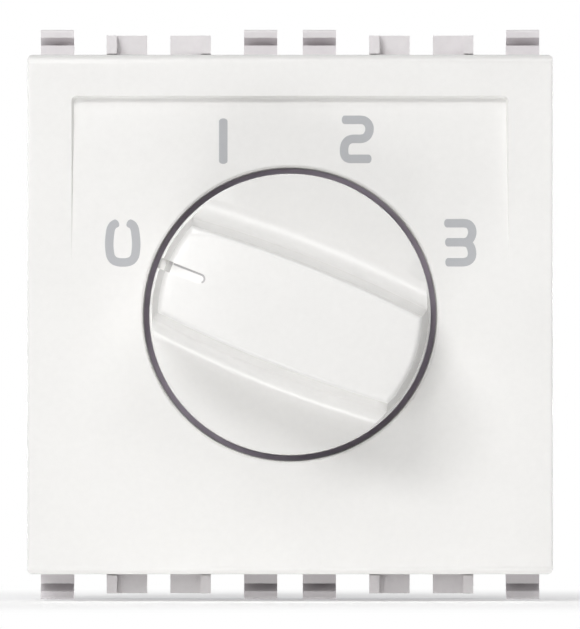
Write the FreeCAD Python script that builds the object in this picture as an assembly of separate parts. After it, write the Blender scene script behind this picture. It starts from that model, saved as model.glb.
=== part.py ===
import FreeCAD, Part
import math
import os

# Two-module snap-in rotary fan speed selector, in millimetres.
# Z is up, the face looks along -Y, and X runs to the right as seen from the front.
# The origin lies on the knob's axis, in the plane where the ribs seat on the mounting frame.
# Angles about the knob's axis are seen from the front, counted counterclockwise from +X.

# Face and cover
face_width = 44.8
face_height = 44.3
face_stand_off = 9.0
cover_skirt_gap = 2.0
cover_face_wall = 1.8
cover_side_wall = 1.5
cover_corner = 0.45
cover_side_edge = 0.25
cover_end_edge = 0.8
collar_wall = 1.45
collar_depth = 2.6
hole_edge_round = 0.3
ledge_gap = 0.3
hook_height = 11.0
hook_width = 4.0
hook_wall = 1.2
hook_side_gap = 0.5
hook_reach = 0.7
hook_head = 1.4
hook_play = 0.1
hook_slot_play = 0.25

# Sloped panel in the face
panel_width = 37.25
panel_top = 18.65
panel_bottom = 4.1
panel_depth = 0.6
panel_corner = 0.45
panel_wall_draft = 20.0

# Knob
knob_radius = 12.0
knob_gap = 0.53
knob_skirt = 2.6
knob_disc_wall = 1.3
knob_skirt_wall = 1.4
knob_rim_round = 0.16
knob_rim_lift = 0.02
grip_height = 8.5
grip_half_width = 4.4
grip_side_radius = 105.0
grip_draft = 6.5
grip_foot_round = 2.2
grip_end_inset = 0.2
grip_end_draft = 4.2
grip_crown_radius = 110.0
grip_edge_round = 0.5
grip_wall = 1.4
grip_top_wall = 1.6
grip_end_wall = 2.0
grip_pocket_corner = 1.5
hub_radius = 3.7
hub_rib_wall = 1.0
hub_rib_recess = 0.3
pointer_width = 0.93
pointer_depth = 0.4
pointer_shallow = 0.14
pointer_fall = 5.0
pointer_start = 7.75
pointer_notch = 0.2
pointer_notch_length = 1.5
pointer_rest_angle = 158.4

# Switch positions
position_pitch = 45.0
position_count = 4

# Body frame
body_side_inset = 0.2
body_end_inset = 0.55
body_corner = 0.8
body_wall = 1.5
body_rear = 9.0
deck_rear = 0.6
boss_radius = 13.5
boss_height = 2.0
module_pitch = 22.45

# Seat ribs
rib_offset = 2.72
rib_width = 3.46
rib_thickness = 1.4
rib_reach = 2.25
rib_strip_width = 0.87
rib_strip_thickness = 3.0
rib_cover_gap = 0.15

# Snap clips
clip_offset = 8.71
clip_width = 2.84
clip_seat = 2.2
clip_block = 1.44
clip_slot = 0.68
clip_tongue = 0.72
clip_slot_length = 4.4
clip_slope = 14.6
clip_slot_round = 0.3
clip_tip_round = 0.2

# Spindle and rotor
spindle_radius = 2.5
spindle_reach = 5.0
spindle_flat_depth = 0.8
spindle_flat_gap = 0.6
spindle_fit = 0.04
journal_radius = 3.0
running_fit = 0.05
knob_seat_gap = 0.1
rotor_gap = 0.3
star_radius = 11.5
star_thickness = 2.5
star_notch_radius = 1.5
star_notch_depth = 0.6
detent_angle = 90.0
lug_reach = 1.4
lug_half_angle = 8.0
lug_rest_angle = 337.5
stop_gap = 0.3
stop_span = 9.0
stop_wall = 1.3
drum_radius = 5.0
drum_length = 10.1
carrier_radius = 9.4
carrier_thickness = 5.1
pivot_radius = 2.0
pivot_end_gap = 0.3

# Detent spring
leaf_thickness = 0.3
leaf_width = 2.0
leaf_bump_radius = 1.2
leaf_bump_span = 140.0
leaf_bump_steps = 8
leaf_half_length = 11.0
leaf_end_rise = 2.2
leaf_fit = 0.05
leaf_post_width = 2.4
leaf_post_height = 2.8

# Knob spring clip
grip_leaf_thickness = 0.4
grip_leaf_length = 5.6
grip_leaf_play = 0.05

# Wiper and its spring
contact_radius = 7.6
collector_radius = 4.0
contact_gap = 0.08
wiper_rest_angle = 135.0
wiper_thickness = 0.6
wiper_half_width = 1.9
wiper_inner = 2.9
wiper_outer = 9.0
wiper_corner = 1.0
wiper_lift = 0.3
dimple_radius = 1.2
dimple_height = 0.42
guide_wall = 1.2
guide_rise = 0.7
guide_play = 0.15
spring_radius = 1.3
spring_wire = 0.45
spring_turns = 3.5
spring_pocket = 3.6
spring_pocket_play = 0.3
spring_end_gap = 0.02

# Contact strips and their base
strip_thickness = 0.8
strip_width = 1.8
strip_pad_radius = 1.5
ring_outer = 5.0
ring_inner = 2.9
tab_width = 3.0
tab_end_gap = 0.9
strip_wall_gap = 0.3
base_thickness = 2.0
base_side_gap = 0.3
peg_radius = 0.5
peg_play = 0.05
peg_inset = 3.0
peg_rise = 0.4

# Rear housing
housing_side_inset = 0.5
housing_end_inset = 0.8
housing_corner = 1.2
housing_wall = 1.9
housing_rear_wall = 2.1
spigot_depth = 1.5
spigot_gap = 0.1
spigot_wall = 0.8
entry_wall = 3.0
chamber_wall = 1.0
chamber_base_gap = 0.2
chamber_side_wall = 1.1
chamber_lead = 0.4
window_width = 5.0
window_margin = 0.1
window_funnel = 0.6
window_funnel_depth = 0.9
base_rib_offset = 7.0
base_rib_wall = 1.6
stake_radius = 0.9
stake_height = 6.5
stake_rise = 0.5
tower_radius = 3.2
tower_front = 12.0
frame_tower_radius = 2.2
frame_tower_gap = 0.2

# Clamp cages and terminal screws
cage_width = 6.0
cage_side_wall = 0.7
cage_front_wall = 1.0
cage_nut_wall = 1.8
cage_play = 0.2
cage_tab_gap = 0.4
cage_travel = 3.1
cage_rear_gap = 0.3
wire_space = 4.4
thread_radius = 1.75
terminal_head_radius = 2.5
terminal_head_height = 1.1
terminal_tip_gap = 0.05
terminal_hole_play = 0.2
terminal_well_depth = 1.5
terminal_head_play = 0.3
head_seat_gap = 0.1
screw_slot_width = 0.7
screw_slot_depth = 0.5

# Housing screws
housing_screw_radius = 1.1
housing_screw_head_radius = 2.1
housing_screw_head_height = 1.6
housing_screw_grip = 6.0
housing_screw_well_depth = 1.9
housing_screw_pilot_play = 0.02
housing_screw_hole_play = 0.15
housing_screw_head_play = 0.2
housing_screw_tip_gap = 1.0

# Overlap used where one solid cuts or joins another
overrun = 0.5
# Points nearer than this are one point
same_point = 1e-6

# Stations along Y, worked out from the sizes above
face_y = -face_stand_off
cover_rear_y = -cover_skirt_gap
cover_inner_y = face_y + cover_face_wall
grip_top_y = face_y - grip_height
knob_rear_y = face_y + knob_skirt
knob_inner_y = face_y + knob_disc_wall
boss_front_y = cover_rear_y - boss_height
journal_front_y = knob_rear_y + knob_seat_gap
spindle_tip_y = face_y - spindle_reach
flat_rear_y = knob_rear_y - spindle_flat_gap
star_front_y = deck_rear + rotor_gap
star_rear_y = star_front_y + star_thickness
carrier_front_y = star_rear_y + drum_length
carrier_rear_y = carrier_front_y + carrier_thickness
wiper_front_y = carrier_rear_y + wiper_lift
wiper_rear_y = wiper_front_y + wiper_thickness
strip_front_y = wiper_rear_y + dimple_height + contact_gap
strip_rear_y = strip_front_y + strip_thickness
base_rear_y = strip_rear_y + base_thickness
cage_gap_y = strip_front_y - wire_space
cage_front_y = cage_gap_y - cage_front_wall
nut_front_y = strip_rear_y + cage_tab_gap
nut_rear_y = nut_front_y + cage_nut_wall
chamber_front_y = cage_front_y - chamber_lead
housing_inner_y = nut_rear_y + cage_travel + cage_rear_gap
housing_rear_y = housing_inner_y + housing_rear_wall
spigot_front_y = body_rear - spigot_depth

# Half sizes of the nested mouldings
cover_half_x = face_width / 2
cover_half_z = face_height / 2
body_half_x = cover_half_x - body_side_inset
body_half_z = cover_half_z - body_end_inset
well_half_x = body_half_x - body_wall
well_half_z = body_half_z - body_wall
housing_half_x = body_half_x - housing_side_inset
housing_half_z = body_half_z - housing_end_inset
inner_half_x = housing_half_x - housing_wall
inner_half_z = housing_half_z - housing_wall

# Places worked out from the sizes above
hole_radius = knob_radius + knob_gap
lug_radius = star_radius + lug_reach
turn_range = position_pitch * (position_count - 1)
cage_half = cage_width / 2
chamber_half = cage_half + cage_play
terminal_x = inner_half_x - chamber_side_wall - chamber_half
chamber_outer_z = housing_half_z - entry_wall
chamber_inner_z = contact_radius + strip_pad_radius + strip_wall_gap + chamber_wall
cage_length = chamber_outer_z - chamber_inner_z - 2 * cage_play
terminal_z = (chamber_outer_z + chamber_inner_z) / 2
tab_end_z = chamber_outer_z - tab_end_gap
spring_offset = (contact_radius + collector_radius) / 2
tower_offset = inner_half_z - frame_tower_gap - frame_tower_radius
hook_outer_x = cover_half_x - cover_side_wall - hook_side_gap
hook_inner_x = hook_outer_x - hook_wall
base_half_x = inner_half_x - base_side_gap
base_half_height = chamber_inner_z - chamber_wall - chamber_base_gap
peg_x = terminal_x - peg_inset

# Terminals as seen from the front: name, side in X, side in Z
terminals = [("common", -1, -1), ("1", -1, 1), ("2", 1, 1), ("3", 1, -1)]


def vec(x, y, z):
    return FreeCAD.Vector(x, y, z)


def outline(corners):
    """Closed wire through the corners, each a point with its own rounding radius."""
    spots = []
    for index, (point, radius) in enumerate(corners):
        back = (corners[index - 1][0] - point).normalize()
        ahead = (corners[(index + 1) % len(corners)][0] - point).normalize()
        half = back.getAngle(ahead) / 2
        reach = radius / math.tan(half)
        inward = (back + ahead).normalize() if radius else back
        middle = point + inward * (radius / math.sin(half) - radius)
        spots.append((point + back * reach, middle, point + ahead * reach, radius))
    edges = []
    for index, (start, middle, end, radius) in enumerate(spots):
        if radius:
            edges.append(Part.Arc(start, middle, end).toShape())
        following = spots[(index + 1) % len(spots)][0]
        if not end.isEqual(following, same_point):
            edges.append(Part.LineSegment(end, following).toShape())
    return Part.Wire(edges)


def along_y(corners, y0, y1):
    """Prism along Y over rounded corners given as (x, z, radius)."""
    wire = outline([(vec(x, y0, z), radius) for x, z, radius in corners])
    return Part.Face(wire).extrude(vec(0, y1 - y0, 0))


def along_x(corners, x0, x1):
    """Prism along X over rounded corners given as (y, z, radius)."""
    wire = outline([(vec(x0, y, z), radius) for y, z, radius in corners])
    return Part.Face(wire).extrude(vec(x1 - x0, 0, 0))


def along_z(corners, z0, z1):
    """Prism along Z over rounded corners given as (x, y, radius)."""
    wire = outline([(vec(x, y, z0), radius) for x, y, radius in corners])
    return Part.Face(wire).extrude(vec(0, 0, z1 - z0))


def lathe(corners):
    """Solid of revolution about the knob's axis over rounded corners given as (radius, y, rounding)."""
    wire = outline([(vec(0, y, r), radius) for r, y, radius in corners])
    return Part.Face(wire).revolve(vec(0, 0, 0), vec(0, 1, 0), 360)


def box(x0, x1, y0, y1, z0, z1):
    low = vec(min(x0, x1), min(y0, y1), min(z0, z1))
    return Part.makeBox(abs(x1 - x0), abs(y1 - y0), abs(z1 - z0), low)


def rod(radius, y0, y1, x=0, z=0):
    return Part.makeCylinder(radius, y1 - y0, vec(x, y0, z), vec(0, 1, 0))


def slab(half_x, half_z, corner, y0, y1):
    """Plate along Y with a rounded rectangle for its outline."""
    corners = [(-half_x, -half_z), (half_x, -half_z), (half_x, half_z), (-half_x, half_z)]
    return along_y([(x, z, corner) for x, z in corners], y0, y1)


def polar(radius, angle):
    return radius * math.cos(math.radians(angle)), radius * math.sin(math.radians(angle))


def sector(inner, outer, start, end, y0, y1):
    """Block between two radii and two angles about the knob's axis."""
    middle = (start + end) / 2
    spots = {}
    for radius in (inner, outer):
        for angle in (start, middle, end):
            x, z = polar(radius, angle)
            spots[radius, angle] = vec(x, y0, z)
    edges = [
        Part.Arc(spots[inner, start], spots[inner, middle], spots[inner, end]).toShape(),
        Part.LineSegment(spots[inner, end], spots[outer, end]).toShape(),
        Part.Arc(spots[outer, end], spots[outer, middle], spots[outer, start]).toShape(),
        Part.LineSegment(spots[outer, start], spots[inner, start]).toShape(),
    ]
    return Part.Face(Part.Wire(edges)).extrude(vec(0, y1 - y0, 0))


def turned(shape, angle):
    """Copy turned clockwise, as seen from the front, about the knob's axis."""
    copy = shape.copy()
    copy.rotate(vec(0, 0, 0), vec(0, 1, 0), angle)
    return copy


def upside_down(shape):
    return shape.mirror(vec(0, 0, 0), vec(0, 0, 1))


def joined(shape, others):
    return shape.multiFuse(others).removeSplitter()


def front_cover():
    end_section = [
        (face_y, -cover_half_z, cover_end_edge),
        (face_y, cover_half_z, cover_end_edge),
        (cover_rear_y, cover_half_z, 0),
        (cover_rear_y, -cover_half_z, 0),
    ]
    side_section = [
        (-cover_half_x, face_y, cover_side_edge),
        (cover_half_x, face_y, cover_side_edge),
        (cover_half_x, cover_rear_y, 0),
        (-cover_half_x, cover_rear_y, 0),
    ]
    shell = along_x(end_section, -cover_half_x, cover_half_x)
    shell = shell.common(along_z(side_section, -cover_half_z, cover_half_z))
    shell = shell.common(slab(cover_half_x, cover_half_z, cover_corner, face_y - overrun, cover_rear_y))
    room_x = cover_half_x - cover_side_wall
    room_z = cover_half_z - cover_side_wall
    shell = shell.cut(box(-room_x, room_x, cover_inner_y, 0, -room_z, room_z))
    collar_rear_y = cover_inner_y + collar_depth
    added = [rod(hole_radius + collar_wall, cover_inner_y - overrun, collar_rear_y)]
    for side in (-1, 1):
        for end in (-1, 1):
            added.append(cover_hook(side, end))
    shell = joined(shell, added)
    hole = rod(hole_radius, face_y - overrun, knob_rear_y + ledge_gap)
    ledge_hole = rod(knob_radius - knob_skirt_wall, face_y, collar_rear_y)
    shell = shell.cut(panel_cutter()).cut(hole).cut(ledge_hole)
    rim_y = face_y + panel_depth
    rim_edges = [e for e in shell.Edges if e.BoundBox.YMax < rim_y and is_on_hole(e)]
    return shell.makeFillet(hole_edge_round, rim_edges)


def is_on_hole(edge):
    """True where the edge runs along the wall of the knob's hole."""
    middle = edge.valueAt((edge.FirstParameter + edge.LastParameter) / 2)
    return abs(math.hypot(middle.x, middle.z) - hole_radius) < same_point


def cover_hook(side, end):
    """Leg from the cover's face through the deck, with a barb behind the deck."""
    barb_y = deck_rear + hook_play
    section = [
        (side * hook_outer_x, cover_inner_y - overrun, 0),
        (side * hook_inner_x, cover_inner_y - overrun, 0),
        (side * hook_inner_x, barb_y, 0),
        (side * (hook_inner_x - hook_reach), barb_y, 0),
        (side * hook_inner_x, barb_y + hook_head, 0),
        (side * hook_outer_x, barb_y + hook_head, 0),
    ]
    low = end * hook_height - hook_width / 2
    return along_z(section, low, low + hook_width)


def panel_cutter():
    """Shallow inverted-U recess: drafted walls, and a floor that rises to the face at its lower end."""
    slope = panel_depth / (panel_top - panel_bottom)
    wall_lean = math.tan(math.radians(panel_wall_draft))
    wires = []
    for depth in (-overrun, panel_depth + overrun):
        inset = depth * wall_lean
        half = panel_width / 2 - inset
        corners = [(-half, 0), (half, 0), (half, panel_top - inset), (-half, panel_top - inset)]
        radii = [0, 0, panel_corner, panel_corner]
        points = [(vec(x, face_y + depth, z), r) for (x, z), r in zip(corners, radii)]
        wires.append(outline(points))
    pocket = Part.makeLoft(wires, True, True)
    low_z = 0
    high_z = panel_top + overrun
    front_y = face_y - 2 * overrun
    floor = [
        (face_y + (low_z - panel_bottom) * slope, low_z, 0),
        (face_y + (high_z - panel_bottom) * slope, high_z, 0),
        (front_y, high_z, 0),
        (front_y, low_z, 0),
    ]
    return pocket.common(along_x(floor, -panel_width, panel_width))


def grip_flank():
    """Space under one long flank of the grip, swept about the far centre of the flank's arc."""
    lean = math.tan(math.radians(grip_draft))
    centre = grip_half_width - grip_side_radius
    upper_y = grip_top_y - overrun
    reach = knob_radius + overrun
    section = [
        (upper_y, -reach, 0),
        (upper_y, grip_half_width - overrun * lean, 0),
        (face_y, grip_half_width + grip_height * lean, grip_foot_round),
        (face_y, reach, 0),
        (knob_rear_y + overrun, reach, 0),
        (knob_rear_y + overrun, -reach, 0),
    ]
    face = Part.Face(outline([(vec(0, y, z), radius) for y, z, radius in section]))
    half_sweep = math.degrees(math.asin(reach / (grip_side_radius - reach - grip_half_width)))
    face.rotate(vec(0, 0, centre), vec(0, 1, 0), -half_sweep)
    return face.revolve(vec(0, 0, centre), vec(0, 1, 0), 2 * half_sweep)


def crown(lift):
    """Ball whose cap is the grip's slightly domed top, lowered by lift."""
    return Part.makeSphere(grip_crown_radius, vec(0, grip_top_y + lift + grip_crown_radius, 0))


def knob():
    end_lean = math.tan(math.radians(grip_end_draft))
    end_radius = knob_radius - grip_end_inset
    upper_y = grip_top_y - overrun
    rim_y = face_y - knob_rim_lift
    upper_radius = end_radius - (rim_y - upper_y) * end_lean
    turned_form = lathe([
        (0, knob_rear_y, 0),
        (knob_radius, knob_rear_y, 0),
        (knob_radius, rim_y, knob_rim_round),
        (end_radius, rim_y, 0),
        (upper_radius, upper_y, 0),
        (0, upper_y, 0),
    ])
    flank = grip_flank()
    head = turned_form.common(flank).common(upside_down(flank)).common(crown(0))
    edge_y = grip_top_y + knob_radius ** 2 / (2 * grip_crown_radius) + overrun
    top_edges = [e for e in head.Edges if e.BoundBox.YMax < edge_y]
    head = head.makeFillet(grip_edge_round, top_edges)

    inner_half_width = grip_half_width - grip_wall
    pocket_half_length = upper_radius - grip_end_wall
    pocket_top_y = grip_top_y + grip_top_wall
    pocket = slab(pocket_half_length, inner_half_width, grip_pocket_corner, pocket_top_y, knob_rear_y)
    hollow = pocket.fuse(rod(knob_radius - knob_skirt_wall, knob_inner_y, knob_rear_y + overrun))
    hub = rod(hub_radius, pocket_top_y - overrun, knob_rear_y)
    rib_reach_z = knob_radius - knob_skirt_wall / 2
    cross_rib = box(-hub_rib_wall / 2, hub_rib_wall / 2, knob_inner_y - overrun,
                    knob_rear_y - hub_rib_recess, -rib_reach_z, rib_reach_z)
    head = joined(head.cut(hollow), [hub, cross_rib])

    bore_radius = spindle_radius + spindle_fit
    bore = rod(bore_radius, spindle_tip_y - knob_seat_gap, knob_rear_y + overrun)
    flat_z = spindle_radius - spindle_flat_depth + grip_leaf_thickness + 2 * grip_leaf_play
    above = box(-bore_radius, bore_radius, spindle_tip_y - overrun, flat_rear_y,
                flat_z, bore_radius + overrun)
    head = head.cut(bore.cut(above)).cut(pointer_cutter(end_radius, end_lean, upper_y, rim_y))
    return turned(head, 180 - pointer_rest_angle)


def pointer_cutter(end_radius, end_lean, upper_y, rim_y):
    """Engraved pointer: a slot that deepens along the grip's top, down its end wall and into the rim."""
    half = pointer_width / 2
    far = knob_radius + overrun
    slot = along_y([
        (-far, -half, 0),
        (-pointer_start, -half, half),
        (-pointer_start, half, half),
        (-far, half, 0),
    ], upper_y, face_y + pointer_notch_length)
    base = end_radius - pointer_depth
    core = lathe([
        (0, face_y + pointer_notch_length + overrun, 0),
        (knob_radius - pointer_notch, face_y + pointer_notch_length + overrun, 0),
        (knob_radius - pointer_notch, rim_y, 0),
        (base, rim_y, 0),
        (base - (rim_y - upper_y) * end_lean, upper_y, 0),
        (0, upper_y, 0),
    ])
    floor = crown(pointer_shallow)
    floor.rotate(vec(-pointer_start, grip_top_y + pointer_shallow, 0), vec(0, 0, 1), -pointer_fall)
    return slot.cut(core.common(floor))


def knob_spring_clip():
    """Steel leaf between the spindle's flat and the flat of the hub's bore."""
    low_z = spindle_radius - spindle_flat_depth + grip_leaf_play
    high_z = low_z + grip_leaf_thickness
    front_y = flat_rear_y - grip_leaf_length
    half = math.sqrt((spindle_radius + spindle_fit) ** 2 - high_z ** 2) - grip_leaf_play
    section = [
        (front_y, low_z, 0),
        (front_y, high_z, 0),
        (flat_rear_y - grip_leaf_play, high_z, 0),
        (flat_rear_y - grip_leaf_play, low_z, 0),
    ]
    leaf = along_x(section, -half, half)
    return turned(leaf, 180 - pointer_rest_angle)


def rib(x, strip_side):
    """Seat rib with a thicker strip along its outer side."""
    root_z = body_half_z - body_wall / 2
    tip_z = body_half_z + rib_reach
    half = rib_width / 2
    edge = x + strip_side * half
    inner = edge - strip_side * rib_strip_width
    plate = box(x - half, x + half, -rib_thickness, 0, root_z, tip_z)
    section = [
        (0, root_z, 0),
        (cover_rear_y + rib_cover_gap, root_z, 0),
        (cover_rear_y + rib_cover_gap, cover_half_z + rib_cover_gap, 0),
        (-rib_strip_thickness, cover_half_z + rib_cover_gap, 0),
        (-rib_strip_thickness, tip_z, 0),
        (0, tip_z, 0),
    ]
    return plate.fuse(along_x(section, min(edge, inner), max(edge, inner)))


def snap_clip(x):
    """Ramped snap: a fixed block and a springy tongue, parted by a slot that opens to the front."""
    slot_end_y = clip_seat + clip_slot_length
    fall = clip_slot_length * math.tan(math.radians(clip_slope))
    root_z = body_half_z - body_wall / 2
    block_z = body_half_z + clip_block
    tongue_z = block_z + clip_slot
    tip_z = tongue_z + clip_tongue
    section = [
        (clip_seat, root_z, 0),
        (clip_seat, block_z, 0),
        (slot_end_y, block_z - fall, clip_slot_round),
        (slot_end_y, tongue_z - fall, clip_slot_round),
        (clip_seat, tongue_z, 0),
        (clip_seat, tip_z, clip_tip_round),
        (slot_end_y, tip_z - fall, 0),
        (body_rear, body_half_z, 0),
        (body_rear, root_z, 0),
    ]
    return along_x(section, x - clip_width / 2, x + clip_width / 2)


def leaf_path(extra):
    """Route of the detent leaf in X and Z: a rounded bump between two straight arms."""
    bump_z = star_radius - star_notch_depth + star_notch_radius
    points = []
    for step in range(leaf_bump_steps + 1):
        angle = 270 + leaf_bump_span * (step / leaf_bump_steps - 0.5)
        x, z = polar(leaf_bump_radius - leaf_thickness / 2, angle)
        points.append((x, bump_z + z))
    end_z = points[-1][1] + leaf_end_rise
    reach = leaf_half_length + extra
    end_z += extra * leaf_end_rise / (leaf_half_length - points[-1][0])
    return [(-reach, end_z)] + points + [(reach, end_z)]


def ribbon(points, thickness, y0, y1):
    """Strip of even thickness that follows a route in X and Z, with mitred bends."""
    sides = ([], [])
    for index, (x, z) in enumerate(points):
        before = points[max(index - 1, 0)]
        after = points[min(index + 1, len(points) - 1)]
        turns = []
        for (x0, z0), (x1, z1) in ((before, (x, z)), ((x, z), after)):
            length = math.hypot(x1 - x0, z1 - z0)
            if length:
                turns.append(((z0 - z1) / length, (x1 - x0) / length))
        nx = sum(n[0] for n in turns)
        nz = sum(n[1] for n in turns)
        size = math.hypot(nx, nz)
        stretch = thickness / 2 / ((nx * turns[0][0] + nz * turns[0][1]) / size)
        for side, sign in zip(sides, (1, -1)):
            side.append((x + sign * nx / size * stretch, z + sign * nz / size * stretch, 0))
    return along_y(sides[0] + sides[1][::-1], y0, y1)


def detent_spring():
    return ribbon(leaf_path(0), leaf_thickness, star_front_y + leaf_fit, star_front_y + leaf_fit + leaf_width)


def leaf_post(side):
    """Slotted post on the deck that holds one end of the detent leaf."""
    end_x, end_z = leaf_path(0)[-1]
    return box(side * (end_x + leaf_thickness), side * (end_x + leaf_thickness - leaf_post_width),
               deck_rear - overrun, star_rear_y, end_z - leaf_post_height / 2, end_z + leaf_post_height / 2)


def body_frame():
    deck = slab(body_half_x, body_half_z, body_corner, cover_rear_y, body_rear)
    deck = deck.cut(box(-well_half_x, well_half_x, deck_rear, body_rear + overrun, -well_half_z, well_half_z))
    added = [rod(boss_radius, boss_front_y, deck_rear - overrun)]
    for side in (-1, 1):
        added.append(leaf_post(side))
        added.append(rod(frame_tower_radius, deck_rear - overrun, tower_front, 0, side * tower_offset))
    stop_turn = math.degrees(stop_gap / lug_radius)
    first = lug_rest_angle + lug_half_angle + stop_turn
    last = lug_rest_angle - turn_range - lug_half_angle - stop_turn
    for start, end in ((first, first + stop_span), (last - stop_span, last)):
        added.append(sector(star_radius + stop_gap, lug_radius + stop_wall, start, end,
                            deck_rear - overrun, star_rear_y))
    for module in (-1, 1):
        for side in (-1, 1):
            middle = module * module_pitch / 2
            for feature in (rib(middle + side * rib_offset, side), snap_clip(middle + side * clip_offset)):
                added += [feature, upside_down(feature)]
    frame = joined(deck, added)
    frame = frame.cut(rod(journal_radius + running_fit, boss_front_y - overrun, deck_rear + overrun))
    for side in (-1, 1):
        pilot = housing_screw_radius + housing_screw_pilot_play
        tip_y = tower_front - housing_screw_grip - housing_screw_tip_gap
        frame = frame.cut(rod(pilot, tip_y, tower_front + overrun, 0, side * tower_offset))
        for end in (-1, 1):
            frame = frame.cut(hook_slot(side, end))
    return frame.cut(ribbon(leaf_path(overrun), leaf_thickness + 2 * leaf_fit, star_front_y,
                            star_rear_y + overrun))


def hook_slot(side, end):
    half = hook_width / 2 + hook_slot_play
    z = end * hook_height
    return box(side * (hook_inner_x - hook_slot_play), side * (hook_outer_x + hook_slot_play),
               cover_rear_y - overrun, deck_rear + overrun, z - half, z + half)


def rotor():
    spindle = rod(spindle_radius, spindle_tip_y, journal_front_y + overrun)
    flat_z = spindle_radius - spindle_flat_depth
    flat = box(-spindle_radius, spindle_radius, spindle_tip_y - overrun, flat_rear_y,
               flat_z, spindle_radius + overrun)
    spindle = turned(spindle.cut(flat), 180 - pointer_rest_angle)
    star = rod(star_radius, star_front_y, star_rear_y)
    for position in range(position_count):
        reach = star_radius - star_notch_depth + star_notch_radius
        x, z = polar(reach, detent_angle + position * position_pitch)
        star = star.cut(rod(star_notch_radius, star_front_y - overrun, star_rear_y + overrun, x, z))
    lug = sector(star_radius - overrun, lug_radius, lug_rest_angle - lug_half_angle,
                 lug_rest_angle + lug_half_angle, star_front_y, star_rear_y)
    carrier = rod(carrier_radius, carrier_front_y, carrier_rear_y)
    guides = []
    for side in (-1, 1):
        low = wiper_half_width + guide_play
        guides.append(box(wiper_inner, wiper_outer - wiper_corner, carrier_rear_y - overrun,
                          carrier_rear_y + guide_rise, side * low, side * (low + guide_wall)))
    carrier = joined(carrier, guides)
    pocket = rod(spring_radius + spring_wire / 2 + spring_pocket_play, carrier_rear_y - spring_pocket,
                 carrier_rear_y + overrun, spring_offset, 0)
    carrier = turned(carrier.cut(pocket), -wiper_rest_angle)
    return joined(spindle, [
        rod(journal_radius, journal_front_y, star_front_y + overrun),
        star,
        lug,
        rod(drum_radius, star_rear_y - overrun, carrier_front_y + overrun),
        carrier,
        rod(pivot_radius, carrier_rear_y - overrun, base_rear_y - pivot_end_gap),
    ])


def wiper_contact():
    """Bridge plate with one dimple on the collector ring and one on the speed pads."""
    plate = along_y([
        (wiper_inner, -wiper_half_width, wiper_corner),
        (wiper_outer, -wiper_half_width, wiper_corner),
        (wiper_outer, wiper_half_width, wiper_corner),
        (wiper_inner, wiper_half_width, wiper_corner),
    ], wiper_front_y, wiper_rear_y)
    dimples = []
    for x in (collector_radius, contact_radius):
        ball = Part.makeSphere(dimple_radius, vec(x, wiper_rear_y + dimple_height - dimple_radius, 0))
        dimples.append(ball.common(box(x - dimple_radius, x + dimple_radius, wiper_front_y,
                                       strip_front_y, -dimple_radius, dimple_radius)))
    return turned(joined(plate, dimples), -wiper_rest_angle)


def contact_spring():
    """Coil spring in the rotor's pocket, pressing on the wiper."""
    seat = carrier_rear_y - spring_pocket + spring_wire / 2 + spring_end_gap
    length = wiper_front_y - spring_wire / 2 - spring_end_gap - seat
    path = Part.makeHelix(length / spring_turns, length, spring_radius)
    section = Part.Wire(Part.makeCircle(spring_wire / 2, vec(spring_radius, 0, 0), vec(0, 1, 0)))
    coil = Part.Wire(path.Edges).makePipeShell([section], True, True)
    coil.rotate(vec(0, 0, 0), vec(1, 0, 0), -90)
    coil.translate(vec(spring_offset, seat, 0))
    return turned(coil, -wiper_rest_angle)


def strip_place(name):
    """Centre of the pad that a strip starts from; the common strip starts on the knob's axis."""
    if name == "common":
        return 0, 0
    return polar(contact_radius, wiper_rest_angle - int(name) * position_pitch)


def contact_strip(name, side_x, side_z):
    """Brass strip: pad or ring, a run along X to the terminal, and a tab along Z through the clamp cage."""
    pad_x, pad_z = strip_place(name)
    pad_radius = ring_outer if name == "common" else strip_pad_radius
    half = strip_width / 2
    tab_x = side_x * terminal_x
    run = box(pad_x, tab_x + side_x * tab_width / 2, strip_front_y, strip_rear_y, pad_z - half, pad_z + half)
    tab = box(tab_x - tab_width / 2, tab_x + tab_width / 2, strip_front_y, strip_rear_y,
              pad_z - side_z * half, side_z * tab_end_z)
    strip = joined(rod(pad_radius, strip_front_y, strip_rear_y, pad_x, pad_z), [run, tab])
    if name == "common":
        strip = strip.cut(rod(ring_inner, strip_front_y - overrun, strip_rear_y + overrun))
    return strip.cut(rod(peg_radius + peg_play, strip_front_y - overrun, strip_rear_y + overrun,
                         side_x * peg_x, pad_z))


def contact_base():
    """Insulating plate with locating pegs for the strips and a bearing for the rotor's pivot."""
    base = box(-base_half_x, base_half_x, strip_rear_y, base_rear_y, -base_half_height, base_half_height)
    pegs = []
    for name, side_x, side_z in terminals:
        pegs.append(rod(peg_radius, strip_front_y - peg_rise, strip_rear_y + overrun,
                        side_x * peg_x, strip_place(name)[1]))
    base = joined(base, pegs)
    base = base.cut(rod(pivot_radius + running_fit, strip_rear_y - overrun, base_rear_y + overrun))
    for side in (-1, 1):
        base = base.cut(rod(stake_radius + peg_play, strip_rear_y - overrun, base_rear_y + overrun,
                            side * base_rib_offset, -stake_height))
    return base


def wire_window(side_x, side_z):
    """Wire entry through the end wall, with a funnel at its mouth."""
    x = side_x * terminal_x
    half = window_width / 2
    front = cage_gap_y - window_margin
    rear = strip_front_y + window_margin
    inner_z = side_z * (chamber_outer_z - overrun)
    bore = box(x - half, x + half, front, rear, inner_z, side_z * (housing_half_z + overrun))
    mouths = []
    for depth, grow in ((window_funnel_depth, 0), (0, window_funnel)):
        z = side_z * (housing_half_z - depth)
        mouths.append(outline([
            (vec(x - half - grow, front - grow, z), 0),
            (vec(x + half + grow, front - grow, z), 0),
            (vec(x + half + grow, rear + grow, z), 0),
            (vec(x - half - grow, rear + grow, z), 0),
        ]))
    return bore.fuse(Part.makeLoft(mouths, True, True))


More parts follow.
